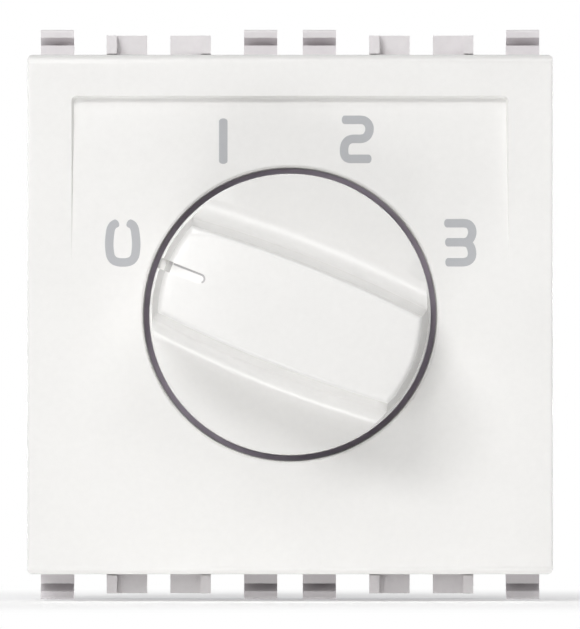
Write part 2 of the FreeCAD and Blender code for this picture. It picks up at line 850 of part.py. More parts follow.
def rear_housing():
    shell = slab(housing_half_x, housing_half_z, housing_corner, body_rear, housing_rear_y)
    lip = slab(well_half_x - spigot_gap, well_half_z - spigot_gap, housing_corner, spigot_front_y,
               body_rear + overrun)
    shell = joined(shell, [lip])
    lip_x = min(inner_half_x, well_half_x - spigot_gap - spigot_wall)
    lip_z = min(inner_half_z, well_half_z - spigot_gap - spigot_wall)
    shell = shell.cut(box(-inner_half_x, inner_half_x, body_rear, housing_inner_y,
                          -inner_half_z, inner_half_z))
    shell = shell.cut(box(-lip_x, lip_x, spigot_front_y - overrun, body_rear + overrun, -lip_z, lip_z))
    added = []
    for side in (-1, 1):
        rib_x = side * base_rib_offset
        added.append(box(rib_x - base_rib_wall / 2, rib_x + base_rib_wall / 2, base_rear_y,
                         housing_inner_y + overrun, -base_half_height, base_half_height))
        added.append(rod(stake_radius, strip_rear_y - stake_rise, base_rear_y + overrun,
                         side * base_rib_offset, -stake_height))
        added.append(rod(tower_radius, tower_front, housing_inner_y + overrun, 0, side * tower_offset))
    block_x = terminal_x - chamber_half - chamber_wall
    block_z = chamber_inner_z - chamber_wall
    for name, side_x, side_z in terminals:
        added.append(box(side_x * block_x, side_x * (inner_half_x + overrun), chamber_front_y,
                         housing_inner_y + overrun, side_z * block_z, side_z * (inner_half_z + overrun)))
    shell = joined(shell, added)
    for name, side_x, side_z in terminals:
        x = side_x * terminal_x
        z = side_z * terminal_z
        tab_half = tab_width / 2 + cage_play
        cuts = [
            box(x - chamber_half, x + chamber_half, chamber_front_y - overrun, housing_inner_y,
                side_z * chamber_inner_z, side_z * chamber_outer_z),
            box(x - tab_half, x + tab_half, chamber_front_y - overrun, strip_rear_y + cage_play,
                side_z * (block_z - overrun), side_z * (chamber_inner_z + overrun)),
            rod(thread_radius + terminal_hole_play, housing_inner_y - overrun,
                housing_rear_y + overrun, x, z),
            rod(terminal_head_radius + terminal_head_play, housing_rear_y - terminal_well_depth,
                housing_rear_y + overrun, x, z),
            wire_window(side_x, side_z),
        ]
        for cut in cuts:
            shell = shell.cut(cut)
    for side in (-1, 1):
        z = side * tower_offset
        shell = shell.cut(rod(housing_screw_radius + housing_screw_hole_play, tower_front - overrun,
                              housing_rear_y + overrun, 0, z))
        shell = shell.cut(rod(housing_screw_head_radius + housing_screw_head_play,
                              housing_rear_y - housing_screw_well_depth, housing_rear_y + overrun, 0, z))
    return shell


def clamp_cage(side_x, side_z):
    """Rising clamp: a rectangular tube along Z with a threaded rear wall."""
    x = side_x * terminal_x
    z = side_z * terminal_z
    half = cage_length / 2
    cage = box(x - cage_half, x + cage_half, cage_front_y, nut_rear_y, z - half, z + half)
    room = cage_half - cage_side_wall
    cage = cage.cut(box(x - room, x + room, cage_gap_y, nut_front_y, z - half - overrun, z + half + overrun))
    return cage.cut(rod(thread_radius + running_fit, nut_front_y - overrun, nut_rear_y + overrun, x, z))


def slotted_screw(x, z, tip_y, seat_y, shank, head, head_height):
    """Screw along Y with its head to the rear and a driving slot."""
    top_y = seat_y + head_height
    screw = joined(rod(shank, tip_y, seat_y + head_height / 2, x, z), [rod(head, seat_y, top_y, x, z)])
    return screw.cut(box(x - head, x + head, top_y - screw_slot_depth, top_y + overrun,
                         z - screw_slot_width / 2, z + screw_slot_width / 2))


def terminal_screw(side_x, side_z):
    seat_y = housing_rear_y - terminal_well_depth + head_seat_gap
    return slotted_screw(side_x * terminal_x, side_z * terminal_z, strip_rear_y + terminal_tip_gap, seat_y,
                         thread_radius, terminal_head_radius, terminal_head_height)


def housing_screws():
    seat_y = housing_rear_y - housing_screw_well_depth
    tip_y = tower_front - housing_screw_grip
    screws = []
    for side in (-1, 1):
        screws.append(slotted_screw(0, side * tower_offset, tip_y, seat_y, housing_screw_radius,
                                    housing_screw_head_radius, housing_screw_head_height))
    return Part.makeCompound(screws)


def build():
    nodes = {
        "front_cover": front_cover(),
        "knob": knob(),
        "knob_spring_clip": knob_spring_clip(),
        "body_frame": body_frame(),
        "rotor": rotor(),
        "detent_spring": detent_spring(),
        "wiper_contact": wiper_contact(),
        "contact_spring": contact_spring(),
        "contact_base": contact_base(),
        "rear_housing": rear_housing(),
        "housing_screws": housing_screws(),
    }
    for name, side_x, side_z in terminals:
        strip = "common_contact" if name == "common" else "speed_" + name + "_contact"
        nodes[strip] = contact_strip(name, side_x, side_z)
        nodes["clamp_" + name] = clamp_cage(side_x, side_z)
        nodes["screw_" + name] = terminal_screw(side_x, side_z)
    return nodes


os.makedirs("parts", exist_ok=True)
for node, shape in build().items():
    shape.exportStep("parts/" + node + ".step")
    print(node, len(shape.Solids), "solids", round(shape.Volume, 1), "mm3", shape.isValid())
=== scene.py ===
import math

import bmesh
import bpy
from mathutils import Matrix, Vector, geometry
from mathutils.bvhtree import BVHTree


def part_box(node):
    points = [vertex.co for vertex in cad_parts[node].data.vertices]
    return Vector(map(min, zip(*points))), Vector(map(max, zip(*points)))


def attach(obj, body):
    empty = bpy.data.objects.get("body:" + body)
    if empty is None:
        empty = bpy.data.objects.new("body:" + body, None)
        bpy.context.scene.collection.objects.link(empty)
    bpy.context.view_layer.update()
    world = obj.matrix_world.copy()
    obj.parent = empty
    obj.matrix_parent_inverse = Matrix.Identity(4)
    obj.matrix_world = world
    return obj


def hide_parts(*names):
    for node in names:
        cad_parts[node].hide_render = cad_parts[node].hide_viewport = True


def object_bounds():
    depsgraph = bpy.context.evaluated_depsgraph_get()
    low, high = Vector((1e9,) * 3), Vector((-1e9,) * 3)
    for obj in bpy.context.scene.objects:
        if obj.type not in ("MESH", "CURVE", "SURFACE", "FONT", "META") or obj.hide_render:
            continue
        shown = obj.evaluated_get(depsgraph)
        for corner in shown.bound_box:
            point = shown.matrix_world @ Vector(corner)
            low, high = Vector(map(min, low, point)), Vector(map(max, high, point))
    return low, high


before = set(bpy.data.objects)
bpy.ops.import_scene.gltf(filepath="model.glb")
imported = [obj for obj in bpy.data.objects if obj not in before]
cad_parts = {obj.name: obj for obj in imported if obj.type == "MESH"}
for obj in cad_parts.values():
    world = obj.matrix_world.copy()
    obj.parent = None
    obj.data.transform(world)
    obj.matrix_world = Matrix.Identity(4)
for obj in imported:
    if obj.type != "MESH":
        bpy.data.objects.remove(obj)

bl_info = {
    "name": "Fan speed switch finish",
    "version": (1, 0, 0),
    "blender": (4, 5, 0),
    "location": "3D View > Sidebar > Fan switch",
    "description": "Dresses the two-module fan speed switch: finishes, print, threaded screws and studio",
    "category": "Object",
}

CAD_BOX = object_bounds()
MM = 0.001
TERMINALS = ("common", "1", "2", "3")

# Ways out of the face and out of the back, and where a ray at the face starts, clear of every piece
FORWARD = Vector((0, -1, 0))
BACKWARD = Vector((0, 1, 0))
RAY_START_Y = CAD_BOX[0].y - 10 * MM
# Turn that lays a form grown along +Z down along +Y, out of the back
TO_BACK = (-math.pi / 2, 0.0, 0.0)

# Facets once round the turned forms
SHADE_RING_STEPS = 160
COLLAR_STEPS = 64
HEAD_STEPS = 40
CORE_STEPS = 32
WIND_STEPS = 28
# Grown forms are shaded smooth where they turn by less than this
CREASE_ANGLE = math.radians(35)
# Nearness at which corners of a figure's outlines count as one
FIGURE_TOLERANCE = 1e-8

# Widths of the slow drifts of tone: flow of the melt in a moulding, stain on metal, cloud in the table
FLOW_WIDTH = 14 * MM
STAIN_WIDTH = 4 * MM
CLOUD_WIDTH = 30 * MM

# Names of the packed pieces by finish
WHITE_FACE = ("front_cover", "knob")
WHITE_FRAME = ("body_frame",)
GREY_REAR = ("rear_housing",)
STRIPS = ("common_contact", "speed_1_contact", "speed_2_contact", "speed_3_contact", "wiper_contact")
SPRINGS = ("knob_spring_clip", "detent_spring", "contact_spring")
CAGES = tuple("clamp_" + name for name in TERMINALS)

# Soft boxes, all aimed at the switch: place and size in metres, and the setting that holds the power
LAMPS = (
    ("key_light", (-0.28, -0.66, 0.62), (0.5, 0.22), "key_power"),
    ("edge_light", (0.3, -0.64, 0.7), (0.4, 0.16), "edge_power"),
    ("high_light", (0.0, -0.45, 0.85), (0.9, 0.2), "high_power"),
    ("low_light", (-0.3, -0.5, -0.76), (0.4, 0.11), "low_power"),
    ("skirt_light", (0.06, -0.5, -0.78), (0.3, 0.1), "skirt_power"),
    ("fill_light", (-0.27, -0.95, 0.15), (0.2, 0.2), "fill_power"),
    ("back_light", (-0.38, 0.55, 0.12), (0.35, 0.35), "back_power"),
    ("back_light", (0.38, 0.55, 0.12), (0.35, 0.35), "back_power"),
)
CAMERA_CLIP = (0.1, 20.0)

# Dial figures as pen strokes in millimetres about their own middles, right and up
DIAL_STROKES = {
    "0": [[(-0.56, 1.70), (-0.82, 1.54), (-1.01, 1.20), (-1.10, 0.60), (-1.14, 0.00), (-1.11, -0.60),
           (-1.01, -1.12), (-0.74, -1.47), (-0.32, -1.61), (0.02, -1.63), (0.36, -1.61), (0.76, -1.47),
           (1.03, -1.12), (1.13, -0.60), (1.16, 0.00), (1.12, 0.60), (1.03, 1.20), (0.86, 1.54), (0.60, 1.70)]],
    "1": [[(0.0, 1.70), (0.0, 0.85), (0.0, 0.0), (0.0, -0.85), (0.0, -1.70)]],
    "2": [[(-1.04, 1.67), (-0.60, 1.67), (-0.10, 1.67), (0.29, 1.67), (0.62, 1.62), (0.90, 1.42), (1.06, 1.13),
           (1.09, 0.86), (1.04, 0.58), (0.87, 0.28), (0.60, 0.10), (0.29, 0.05), (-0.08, 0.05), (-0.44, 0.03),
           (-0.74, -0.09), (-0.96, -0.34), (-1.06, -0.66), (-1.08, -0.97), (-1.04, -1.30), (-0.87, -1.56),
           (-0.58, -1.66), (-0.20, -1.66), (0.40, -1.66), (1.02, -1.66)]],
    "3": [[(-1.13, 1.67), (-0.70, 1.67), (-0.10, 1.67), (0.34, 1.67), (0.68, 1.59), (0.93, 1.33), (1.03, 0.93),
           (0.95, 0.53), (0.74, 0.21), (0.42, 0.06), (0.0, 0.05), (-0.60, 0.05), (-1.05, 0.05)],
          [(0.30, 0.05), (0.66, -0.05), (0.91, -0.40), (1.01, -0.88), (0.94, -1.27), (0.70, -1.53),
           (0.36, -1.64), (0.0, -1.655), (-0.50, -1.655), (-1.03, -1.655)]],
}
# Middles of the figures from the knob's axis, right and up, in millimetres
DIAL_PLACES = {"0": (-14.27, 6.07), "1": (-5.69, 14.78), "2": (5.69, 14.93), "3": (14.51, 6.11)}

# Painted shadow along the upper wall and the round end of the pointer's engraving, in millimetres from the
# knob's axis along the pointer and across it, upwards
POINTER_TURN = math.radians(158.4)
POINTER_STROKE = [(11.1, 0.36), (10.4, 0.36), (9.6, 0.36), (8.9, 0.36), (8.22, 0.36), (8.02, 0.3), (7.88, 0.14),
                  (7.86, -0.05), (7.95, -0.22)]

# Terminal marks on the back, moulded with the housing, as pen strokes in millimetres seen from behind
REAR_STROKES = {
    "L": [[(-0.6, 1.1), (-0.6, 0.4), (-0.6, -0.4), (-0.6, -1.1)], [(-0.6, -1.1), (0.0, -1.1), (0.7, -1.1)]],
    "1": [[(-0.45, 0.7), (-0.1, 0.95), (0.1, 1.1)], [(0.1, 1.1), (0.1, 0.0), (0.1, -1.1)]],
    "2": [[(-0.7, 0.7), (-0.45, 1.02), (0.0, 1.12), (0.48, 0.98), (0.66, 0.6), (0.5, 0.18), (0.05, -0.3),
           (-0.4, -0.75), (-0.7, -1.1)], [(-0.7, -1.1), (0.0, -1.1), (0.75, -1.1)]],
    "3": [[(-0.65, 0.85), (-0.3, 1.08), (0.1, 1.1), (0.5, 0.9), (0.58, 0.55), (0.4, 0.2), (0.0, 0.06),
           (-0.2, 0.05)],
          [(-0.2, 0.05), (0.2, 0.03), (0.55, -0.2), (0.68, -0.55), (0.5, -0.95), (0.1, -1.12), (-0.3, -1.1),
           (-0.7, -0.88)]],
}
REAR_LABELS = {"common": "L", "1": "1", "2": "2", "3": "3"}


class FinishSettings(bpy.types.PropertyGroup):
    """Surface of the mouldings and the metal parts"""
    moulded_grain: bpy.props.FloatProperty(
        name="Moulded grain", description="Width of the grain on the white plastic, coarser than the real one",
        default=0.3 * MM, unit="LENGTH", precision=5)
    grain_height: bpy.props.FloatProperty(
        name="Grain height", description="Height of the grain on the white plastic",
        default=0.0005 * MM, unit="LENGTH", precision=7)
    white_roughness: bpy.props.FloatProperty(
        name="White roughness", description="Roughness of the satin white plastic",
        default=0.26, min=0.0, max=1.0, subtype="FACTOR")
    smooth_angle: bpy.props.FloatProperty(
        name="Smooth angle", description="Facets that meet at less than this are shaded as one surface",
        default=math.radians(32), subtype="ANGLE")
    weld_distance: bpy.props.FloatProperty(
        name="Weld distance", description="Corners of neighbouring facets nearer than this are one corner",
        default=0.0005 * MM, unit="LENGTH", precision=7)


class DialSettings(bpy.types.PropertyGroup):
    """Printed figures, painted shade ring in the gap round the knob, and moulded terminal marks"""
    stroke: bpy.props.FloatProperty(
        name="Stroke", description="Width of the printed strokes",
        default=0.72 * MM, unit="LENGTH", precision=5)
    stroke_end: bpy.props.FloatProperty(
        name="Stroke end", description="How far the rounded end of a stroke reaches past its last point",
        default=0.24 * MM, unit="LENGTH", precision=5)
    ink_height: bpy.props.FloatProperty(
        name="Ink height", description="Thickness of the printed ink",
        default=0.02 * MM, unit="LENGTH", precision=6)
    ink_colour: bpy.props.FloatVectorProperty(
        name="Ink colour", description="Colour of the pad print, sRGB", default=(0.725, 0.73, 0.74),
        subtype="COLOR_GAMMA", size=3, min=0.0, max=1.0)
    # The pointer's line is a painted shadow along the engraving's upper wall and round end
    pointer_stroke: bpy.props.FloatProperty(
        name="Pointer stroke", description="Width of the paint line in the knob's pointer",
        default=0.16 * MM, unit="LENGTH", precision=5)
    # The ring sized here is painted shade: a mauve-grey sheet where the gap round the knob is only in shadow
    shade_ring_radii: bpy.props.FloatVectorProperty(
        name="Seal radii", description="Inner and outer radius of the dust seal under the knob's rim",
        default=(10.95 * MM, 12.45 * MM), size=2, unit="LENGTH", precision=5)
    shade_ring_thickness: bpy.props.FloatProperty(
        name="Seal thickness", description="Thickness of the dust seal",
        default=0.1 * MM, unit="LENGTH", precision=5)
    mark_stroke: bpy.props.FloatProperty(
        name="Mark stroke", description="Width of the moulded strokes on the back",
        default=0.36 * MM, unit="LENGTH", precision=5)
    mark_height: bpy.props.FloatProperty(
        name="Mark height", description="How far the moulded marks stand off the back",
        default=0.3 * MM, unit="LENGTH", precision=5)
    mark_inset: bpy.props.FloatProperty(
        name="Mark inset", description="Distance of a mark from its screw's axis towards the middle",
        default=5.8 * MM, unit="LENGTH", precision=5)
    collar_wall: bpy.props.FloatProperty(
        name="Collar wall", description="Thickness of the raised collar round a terminal screw",
        default=0.9 * MM, unit="LENGTH", precision=5)
    collar_height: bpy.props.FloatProperty(
        name="Collar height", description="How far a collar stands off the back",
        default=0.9 * MM, unit="LENGTH", precision=5)
    collar_play: bpy.props.FloatProperty(
        name="Collar play", description="Space between a screw's head and its collar",
        default=0.35 * MM, unit="LENGTH", precision=5)
    frame_size: bpy.props.FloatVectorProperty(
        name="Frame size", description="Width and height of the raised frame round the wiring diagram",
        default=(19.0 * MM, 11.0 * MM), size=2, unit="LENGTH", precision=5)
    frame_corner: bpy.props.FloatProperty(
        name="Frame corner", description="Radius of the corners of the raised frame",
        default=1.5 * MM, unit="LENGTH", precision=5)


class ScrewSettings(bpy.types.PropertyGroup):
    """Threaded screws"""
    thread_pitch: bpy.props.FloatProperty(
        name="Thread pitch", description="Rise of the thread in one turn",
        default=0.6 * MM, unit="LENGTH", precision=5)
    terminal_radius: bpy.props.FloatProperty(
        name="Terminal thread", description="Outer radius of a terminal screw's thread",
        default=1.75 * MM, unit="LENGTH", precision=5)
    terminal_depth: bpy.props.FloatProperty(
        name="Terminal thread depth", description="Height of a terminal screw's thread over its core",
        default=0.36 * MM, unit="LENGTH", precision=5)
    terminal_head: bpy.props.FloatProperty(
        name="Terminal head", description="Height of a terminal screw's head",
        default=1.1 * MM, unit="LENGTH", precision=5)
    housing_radius: bpy.props.FloatProperty(
        name="Housing thread", description="Outer radius of a housing screw's thread",
        default=1.1 * MM, unit="LENGTH", precision=5)
    housing_depth: bpy.props.FloatProperty(
        name="Housing thread depth", description="Height of a housing screw's thread over its core",
        default=0.24 * MM, unit="LENGTH", precision=5)
    housing_head: bpy.props.FloatProperty(
        name="Housing head", description="Height of a housing screw's head",
        default=1.6 * MM, unit="LENGTH", precision=5)
    head_chamfer: bpy.props.FloatProperty(
        name="Head chamfer", description="Height of the chamfered edge on a screw's head",
        default=0.3 * MM, unit="LENGTH", precision=5)
    slot_width: bpy.props.FloatProperty(
        name="Slot width", description="Width of the driving slot",
        default=0.7 * MM, unit="LENGTH", precision=5)
    slot_depth: bpy.props.FloatProperty(
        name="Slot depth", description="Depth of the driving slot",
        default=0.5 * MM, unit="LENGTH", precision=5)


class StageSettings(bpy.types.PropertyGroup):
    """Studio table, lamps and camera"""
    lens: bpy.props.FloatProperty(
        name="Lens", description="Focal length, long because the photograph shows no perspective",
        default=1500.0, unit="CAMERA")
    view_height: bpy.props.FloatProperty(
        name="View height", description="Height of the picture at the plane of the face",
        default=53.62 * MM, unit="LENGTH", precision=5)
    floor_gap: bpy.props.FloatProperty(
        name="Floor gap", description="Space between the lowest clip and the table",
        default=0.1 * MM, unit="LENGTH", precision=5)
    floor_half: bpy.props.FloatProperty(
        name="Floor half", description="Half the side of the table", default=3.0, unit="LENGTH")
    floor_white: bpy.props.FloatVectorProperty(
        name="Floor white", description="Distances between which the table turns white",
        default=(12 * MM, 110 * MM), size=2, unit="LENGTH", precision=5)
    floor_glow: bpy.props.FloatProperty(
        name="Floor glow", description="Strength of the table's own glow, seen and not cast on the switch",
        default=0.2, min=0.0)
    key_power: bpy.props.FloatProperty(
        name="Key light", description="Power of the soft box in front, above and left",
        default=3.55, unit="POWER")
    edge_power: bpy.props.FloatProperty(
        name="Edge light", description="Power of the strip box that lights the foot of the grip from the right",
        default=1.3, unit="POWER")
    high_power: bpy.props.FloatProperty(
        name="High light", description="Power of the strip box high in front", default=1.35, unit="POWER")
    low_power: bpy.props.FloatProperty(
        name="Low light", description="Power of the strip box that shines up through the table from the left",
        default=1.5, unit="POWER")
    skirt_power: bpy.props.FloatProperty(
        name="Skirt light", description="Power of the strip box that lights the cover's lower edge",
        default=0.55, unit="POWER")
    fill_power: bpy.props.FloatProperty(
        name="Fill light", description="Power of the small soft box at the left of the camera",
        default=1.36, unit="POWER")
    back_power: bpy.props.FloatProperty(
        name="Back light", description="Power of each of the two soft boxes behind", default=2.0, unit="POWER")
    ambient: bpy.props.FloatProperty(
        name="Ambient", description="Strength of the even light from all round", default=0.01, min=0.0)


def srgb(text):
    """Linear colour with alpha from an sRGB hex value."""
    parts = [int(text[i:i + 2], 16) / 255 for i in (1, 3, 5)]
    return tuple(p / 12.92 if p <= 0.04045 else ((p + 0.055) / 1.055) ** 2.4 for p in parts) + (1.0,)


def add_node(tree, kind, inputs=()):
    """Adds a node: a value sets an input or a property, and a socket or a list of them feeds an input."""
    node = tree.nodes.new(kind)
    for name, value in dict(inputs).items():
        sources = value if isinstance(value, list) else [value]
        if isinstance(sources[0], bpy.types.NodeSocket):
            for source in sources:
                tree.links.new(source, node.inputs[name])
        elif isinstance(name, int) or name in node.inputs:
            node.inputs[name].default_value = value
        else:
            setattr(node, name, value)
    return node


def new_material(name):
    """Material with an empty node tree, and the tree."""
    material = bpy.data.materials.new(name)
    material.use_nodes = True
    tree = material.node_tree
    tree.nodes.clear()
    return material, tree


def set_stops(ramp, *stops):
    """Sets a colour ramp's stops from pairs of a place and an sRGB hex value."""
    for stop, (place, tone) in zip(ramp.elements, stops):
        stop.position = place
        stop.color = srgb(tone)


def end_material(tree, tone, pattern, rough, spread, height, body):
    """Ends a material, whose pattern varies the gloss and raises the skin of a body of plastic or metal."""
    gloss = add_node(tree, "ShaderNodeMapRange",
                     {"From Min": 0.25, "From Max": 0.75, "To Min": rough - spread, "To Max": rough + spread,
                      "Value": pattern})
    skin = add_node(tree, "ShaderNodeBump", {"Strength": 1.0, "Distance": height, "Height": pattern})
    shader = add_node(tree, "ShaderNodeBsdfPrincipled",
                      {**body, "Base Color": tone, "Roughness": gloss.outputs["Result"],
                       "Normal": skin.outputs["Normal"]})
    add_node(tree, "ShaderNodeOutputMaterial", {"Surface": shader.outputs["BSDF"]})


def opaque_finish(name, tone, deep, rough, grain, height, ior=1.53, spread=0.05):
    """Plastic and ink, and the painted shade and painted shadow at the knob: the tone drifts a little, and a
    fine grain breaks up the shine.
    """
    material, tree = new_material(name)
    place = add_node(tree, "ShaderNodeTexCoord").outputs["Object"]
    flow = add_node(tree, "ShaderNodeTexNoise",
                    {"Scale": 1 / FLOW_WIDTH, "Detail": 3.0, "Roughness": 0.55, "Vector": place})
    speck = add_node(tree, "ShaderNodeTexNoise",
                     {"Scale": 1 / (2 * grain), "Detail": 2.0, "Roughness": 0.6, "Vector": place})
    blend = add_node(tree, "ShaderNodeMath",
                     {"operation": "MULTIPLY_ADD", 0: speck.outputs["Fac"], 1: 0.5, 2: flow.outputs["Fac"]})
    tint = add_node(tree, "ShaderNodeValToRGB", {"Fac": blend.outputs[0]})
    set_stops(tint.color_ramp, (0.5, deep), (1.0, tone))
    end_material(tree, tint.outputs["Color"], speck.outputs["Fac"], rough, spread, height, {"IOR": ior})
    return material


def metal_finish(name, tone, deep, rough, streak, height, stretch=(1.0, 1.0, 1.0), spread=0.08):
    """Bare or plated metal: fine streaks of its making, long where stretch is small, spread the highlights."""
    material, tree = new_material(name)
    place = add_node(tree, "ShaderNodeTexCoord").outputs["Object"]
    along = add_node(tree, "ShaderNodeMapping", {"Scale": stretch, "Vector": place})
    lines = add_node(tree, "ShaderNodeTexNoise",
                     {"Scale": 1 / (2 * streak), "Detail": 3.0, "Roughness": 0.6,
                      "Vector": along.outputs["Vector"]})
    stain = add_node(tree, "ShaderNodeTexNoise", {"Scale": 1 / STAIN_WIDTH, "Detail": 2.0, "Vector": place})
    tint = add_node(tree, "ShaderNodeValToRGB", {"Fac": stain.outputs["Fac"]})
    set_stops(tint.color_ramp, (0.3, deep), (0.7, tone))
    end_material(tree, tint.outputs["Color"], lines.outputs["Fac"], rough, spread, height, {"Metallic": 1.0})
    return material


def plated_steel():
    # Zinc-plated steel, cold headed: a clear pale grey that keeps soft, slightly cloudy highlights
    found = bpy.data.materials.get("zinc_plated_steel")
    return found or metal_finish("zinc_plated_steel", "#B3B6B9", "#9A9EA3", rough=0.3, streak=0.15 * MM,
                                 height=0.002 * MM)


def grey_plastic():
    # Polycarbonate blend, moulded with a coarser matt skin: light grey with hardly any shine
    found = bpy.data.materials.get("polycarbonate_moulded_light_grey")
    return found or opaque_finish("polycarbonate_moulded_light_grey", "#CBCCD0", "#C0C1C6", rough=0.55,
                                  grain=0.35 * MM, height=0.008 * MM, ior=1.58)


def new_tree(name, sizes, extra=()):
    """Geometry Nodes tree with inputs for a mesh, the sizes and what is extra, and the sockets they give."""
    tree = bpy.data.node_groups.new(name, "GeometryNodeTree")
    kinds = {"Geometry": "NodeSocketGeometry", **dict.fromkeys(sizes, "NodeSocketFloat"), **dict(extra)}
    for socket, kind in kinds.items():
        tree.interface.new_socket(socket, in_out="INPUT", socket_type=kind)
    tree.interface.new_socket("Geometry", in_out="OUTPUT", socket_type="NodeSocketGeometry")
    return tree, add_node(tree, "NodeGroupInput").outputs


def shaded(tree, mesh, limit):
    """The mesh shaded smooth, with hard edges where it turns by the limit or more."""
    rounded = add_node(tree, "GeometryNodeSetShadeSmooth",
                       {"domain": "FACE", "Shade Smooth": True, "Geometry": mesh})
    angle = add_node(tree, "GeometryNodeInputMeshEdgeAngle")
    gentle = add_node(tree, "FunctionNodeCompare",
                      {"data_type": "FLOAT", "operation": "LESS_THAN", 0: angle.outputs["Unsigned Angle"],
                       1: limit})
    creased = add_node(tree, "GeometryNodeSetShadeSmooth",
                       {"domain": "EDGE", "Geometry": rounded.outputs["Geometry"],
                        "Shade Smooth": gentle.outputs["Result"]})
    return creased.outputs["Geometry"]


def end_tree(tree, grown, material):
    """Ends a tree that grows a piece: one plain mesh, shaded by its angles, in its material."""
    solid = add_node(tree, "GeometryNodeRealizeInstances", {"Geometry": grown})
    smooth = shaded(tree, solid.outputs["Geometry"], CREASE_ANGLE)
    painted = add_node(tree, "GeometryNodeSetMaterial", {"Geometry": smooth, "Material": material})
    add_node(tree, "NodeGroupOutput", {"Geometry": painted.outputs["Geometry"]})


def soften_tree():
    """Geometry Nodes tree that joins loose facets and shades shallow angles as one surface."""
    found = bpy.data.node_groups.get("soften_facets")
    if found:
        return found
    tree, given = new_tree("soften_facets", ("Weld Distance", "Smooth Angle"))
    welded = add_node(tree, "GeometryNodeMergeByDistance",
                      {"Geometry": given["Geometry"], "Distance": given["Weld Distance"]})
    smooth = shaded(tree, welded.outputs["Geometry"], given["Smooth Angle"])
    add_node(tree, "NodeGroupOutput", {"Geometry": smooth})
    return tree


def screw_tree():
    """Geometry Nodes tree that stands a threaded, slotted screw on each given point, head towards +Y."""
    tree, given = new_tree("threaded_screw",
                           ("Thread Radius", "Thread Depth", "Pitch", "Length", "Head Radius", "Head Height",
                            "Chamfer", "Slot Width", "Slot Depth"), {"Material": "NodeSocketMaterial"})

    # Sizes worked out from the given ones, with the head's seat at zero and the tip at minus the length. The
    # thread's ridge is a three-cornered bar wound round the core
    sizes = dict(given.items())
    for name, operation, first, second in (
            ("Core Radius", "SUBTRACT", "Thread Radius", "Thread Depth"),
            ("Core Middle", "MULTIPLY", "Length", -0.5),
            ("Bar Radius", "MULTIPLY", "Thread Depth", 2 / 3),
            ("Wind Radius", "SUBTRACT", "Thread Radius", "Bar Radius"),
            ("Wound Length", "SUBTRACT", "Length", "Pitch"),
            ("Turns", "DIVIDE", "Wound Length", "Pitch"),
            ("Tip Gap", "MULTIPLY", "Pitch", 0.4),
            ("Ridge Start", "SUBTRACT", "Tip Gap", "Length"),
            ("Rim Height", "SUBTRACT", "Head Height", "Chamfer"),
            ("Rim Middle", "MULTIPLY", "Rim Height", 0.5),
            ("Crown Radius", "SUBTRACT", "Head Radius", "Chamfer"),
            ("Slot Length", "MULTIPLY", "Head Radius", 3.0),
            ("Slot Cut", "MULTIPLY", "Slot Depth", 2.0)):
        terms = {0: sizes.get(first, first), 1: sizes.get(second, second)}
        sizes[name] = add_node(tree, "ShaderNodeMath", {"operation": operation, **terms}).outputs[0]

    def moved(mesh, size):
        offset = add_node(tree, "ShaderNodeCombineXYZ", {"Z": sizes[size]})
        return add_node(tree, "GeometryNodeTransform",
                        {"Geometry": mesh, "Translation": offset.outputs["Vector"]}).outputs["Geometry"]

    core = add_node(tree, "GeometryNodeMeshCylinder",
                    {"Vertices": CORE_STEPS, "Radius": sizes["Core Radius"], "Depth": sizes["Length"]})
    wind = add_node(tree, "GeometryNodeCurveSpiral",
                    {"Resolution": WIND_STEPS, "Rotations": sizes["Turns"], "Height": sizes["Wound Length"],
                     "Start Radius": sizes["Wind Radius"], "End Radius": sizes["Wind Radius"]})
    upright = add_node(tree, "GeometryNodeSetCurveNormal", {"mode": "Z_UP", "Curve": wind.outputs["Curve"]})
    bar = add_node(tree, "GeometryNodeCurvePrimitiveCircle",
                   {"mode": "RADIUS", "Resolution": 3, "Radius": sizes["Bar Radius"]})
    ridge = add_node(tree, "GeometryNodeCurveToMesh",
                     {"Fill Caps": True, "Curve": upright.outputs["Curve"],
                      "Profile Curve": bar.outputs["Curve"]})

    # Head with a chamfered edge, its slot cut after
    rim = add_node(tree, "GeometryNodeMeshCylinder",
                   {"Vertices": HEAD_STEPS, "Radius": sizes["Head Radius"], "Depth": sizes["Rim Height"]})
    crown = add_node(tree, "GeometryNodeMeshCone",
                     {"Vertices": HEAD_STEPS, "Radius Top": sizes["Crown Radius"],
                      "Radius Bottom": sizes["Head Radius"], "Depth": sizes["Chamfer"]})
    head = add_node(tree, "GeometryNodeMeshBoolean",
                    {"operation": "UNION", "Mesh 2": [moved(rim.outputs["Mesh"], "Rim Middle"),
                                                      moved(crown.outputs["Mesh"], "Rim Height")]})
    slot_size = add_node(tree, "ShaderNodeCombineXYZ",
                         {"X": sizes["Slot Length"], "Y": sizes["Slot Width"], "Z": sizes["Slot Cut"]})
    slot_bar = add_node(tree, "GeometryNodeMeshCube", {"Size": slot_size.outputs["Vector"]})
    slotted = add_node(tree, "GeometryNodeMeshBoolean",
                       {"operation": "DIFFERENCE", "Mesh 1": head.outputs["Mesh"],
                        "Mesh 2": moved(slot_bar.outputs["Mesh"], "Head Height")})

    screw = add_node(tree, "GeometryNodeJoinGeometry",
                     {"Geometry": [slotted.outputs["Mesh"], moved(ridge.outputs["Mesh"], "Ridge Start"),
                                   moved(core.outputs["Mesh"], "Core Middle")]})
    stood = add_node(tree, "GeometryNodeInstanceOnPoints",
                     {"Rotation": TO_BACK, "Points": given["Geometry"], "Instance": screw.outputs["Geometry"]})
    end_tree(tree, stood.outputs["Instances"], given["Material"])
    return tree


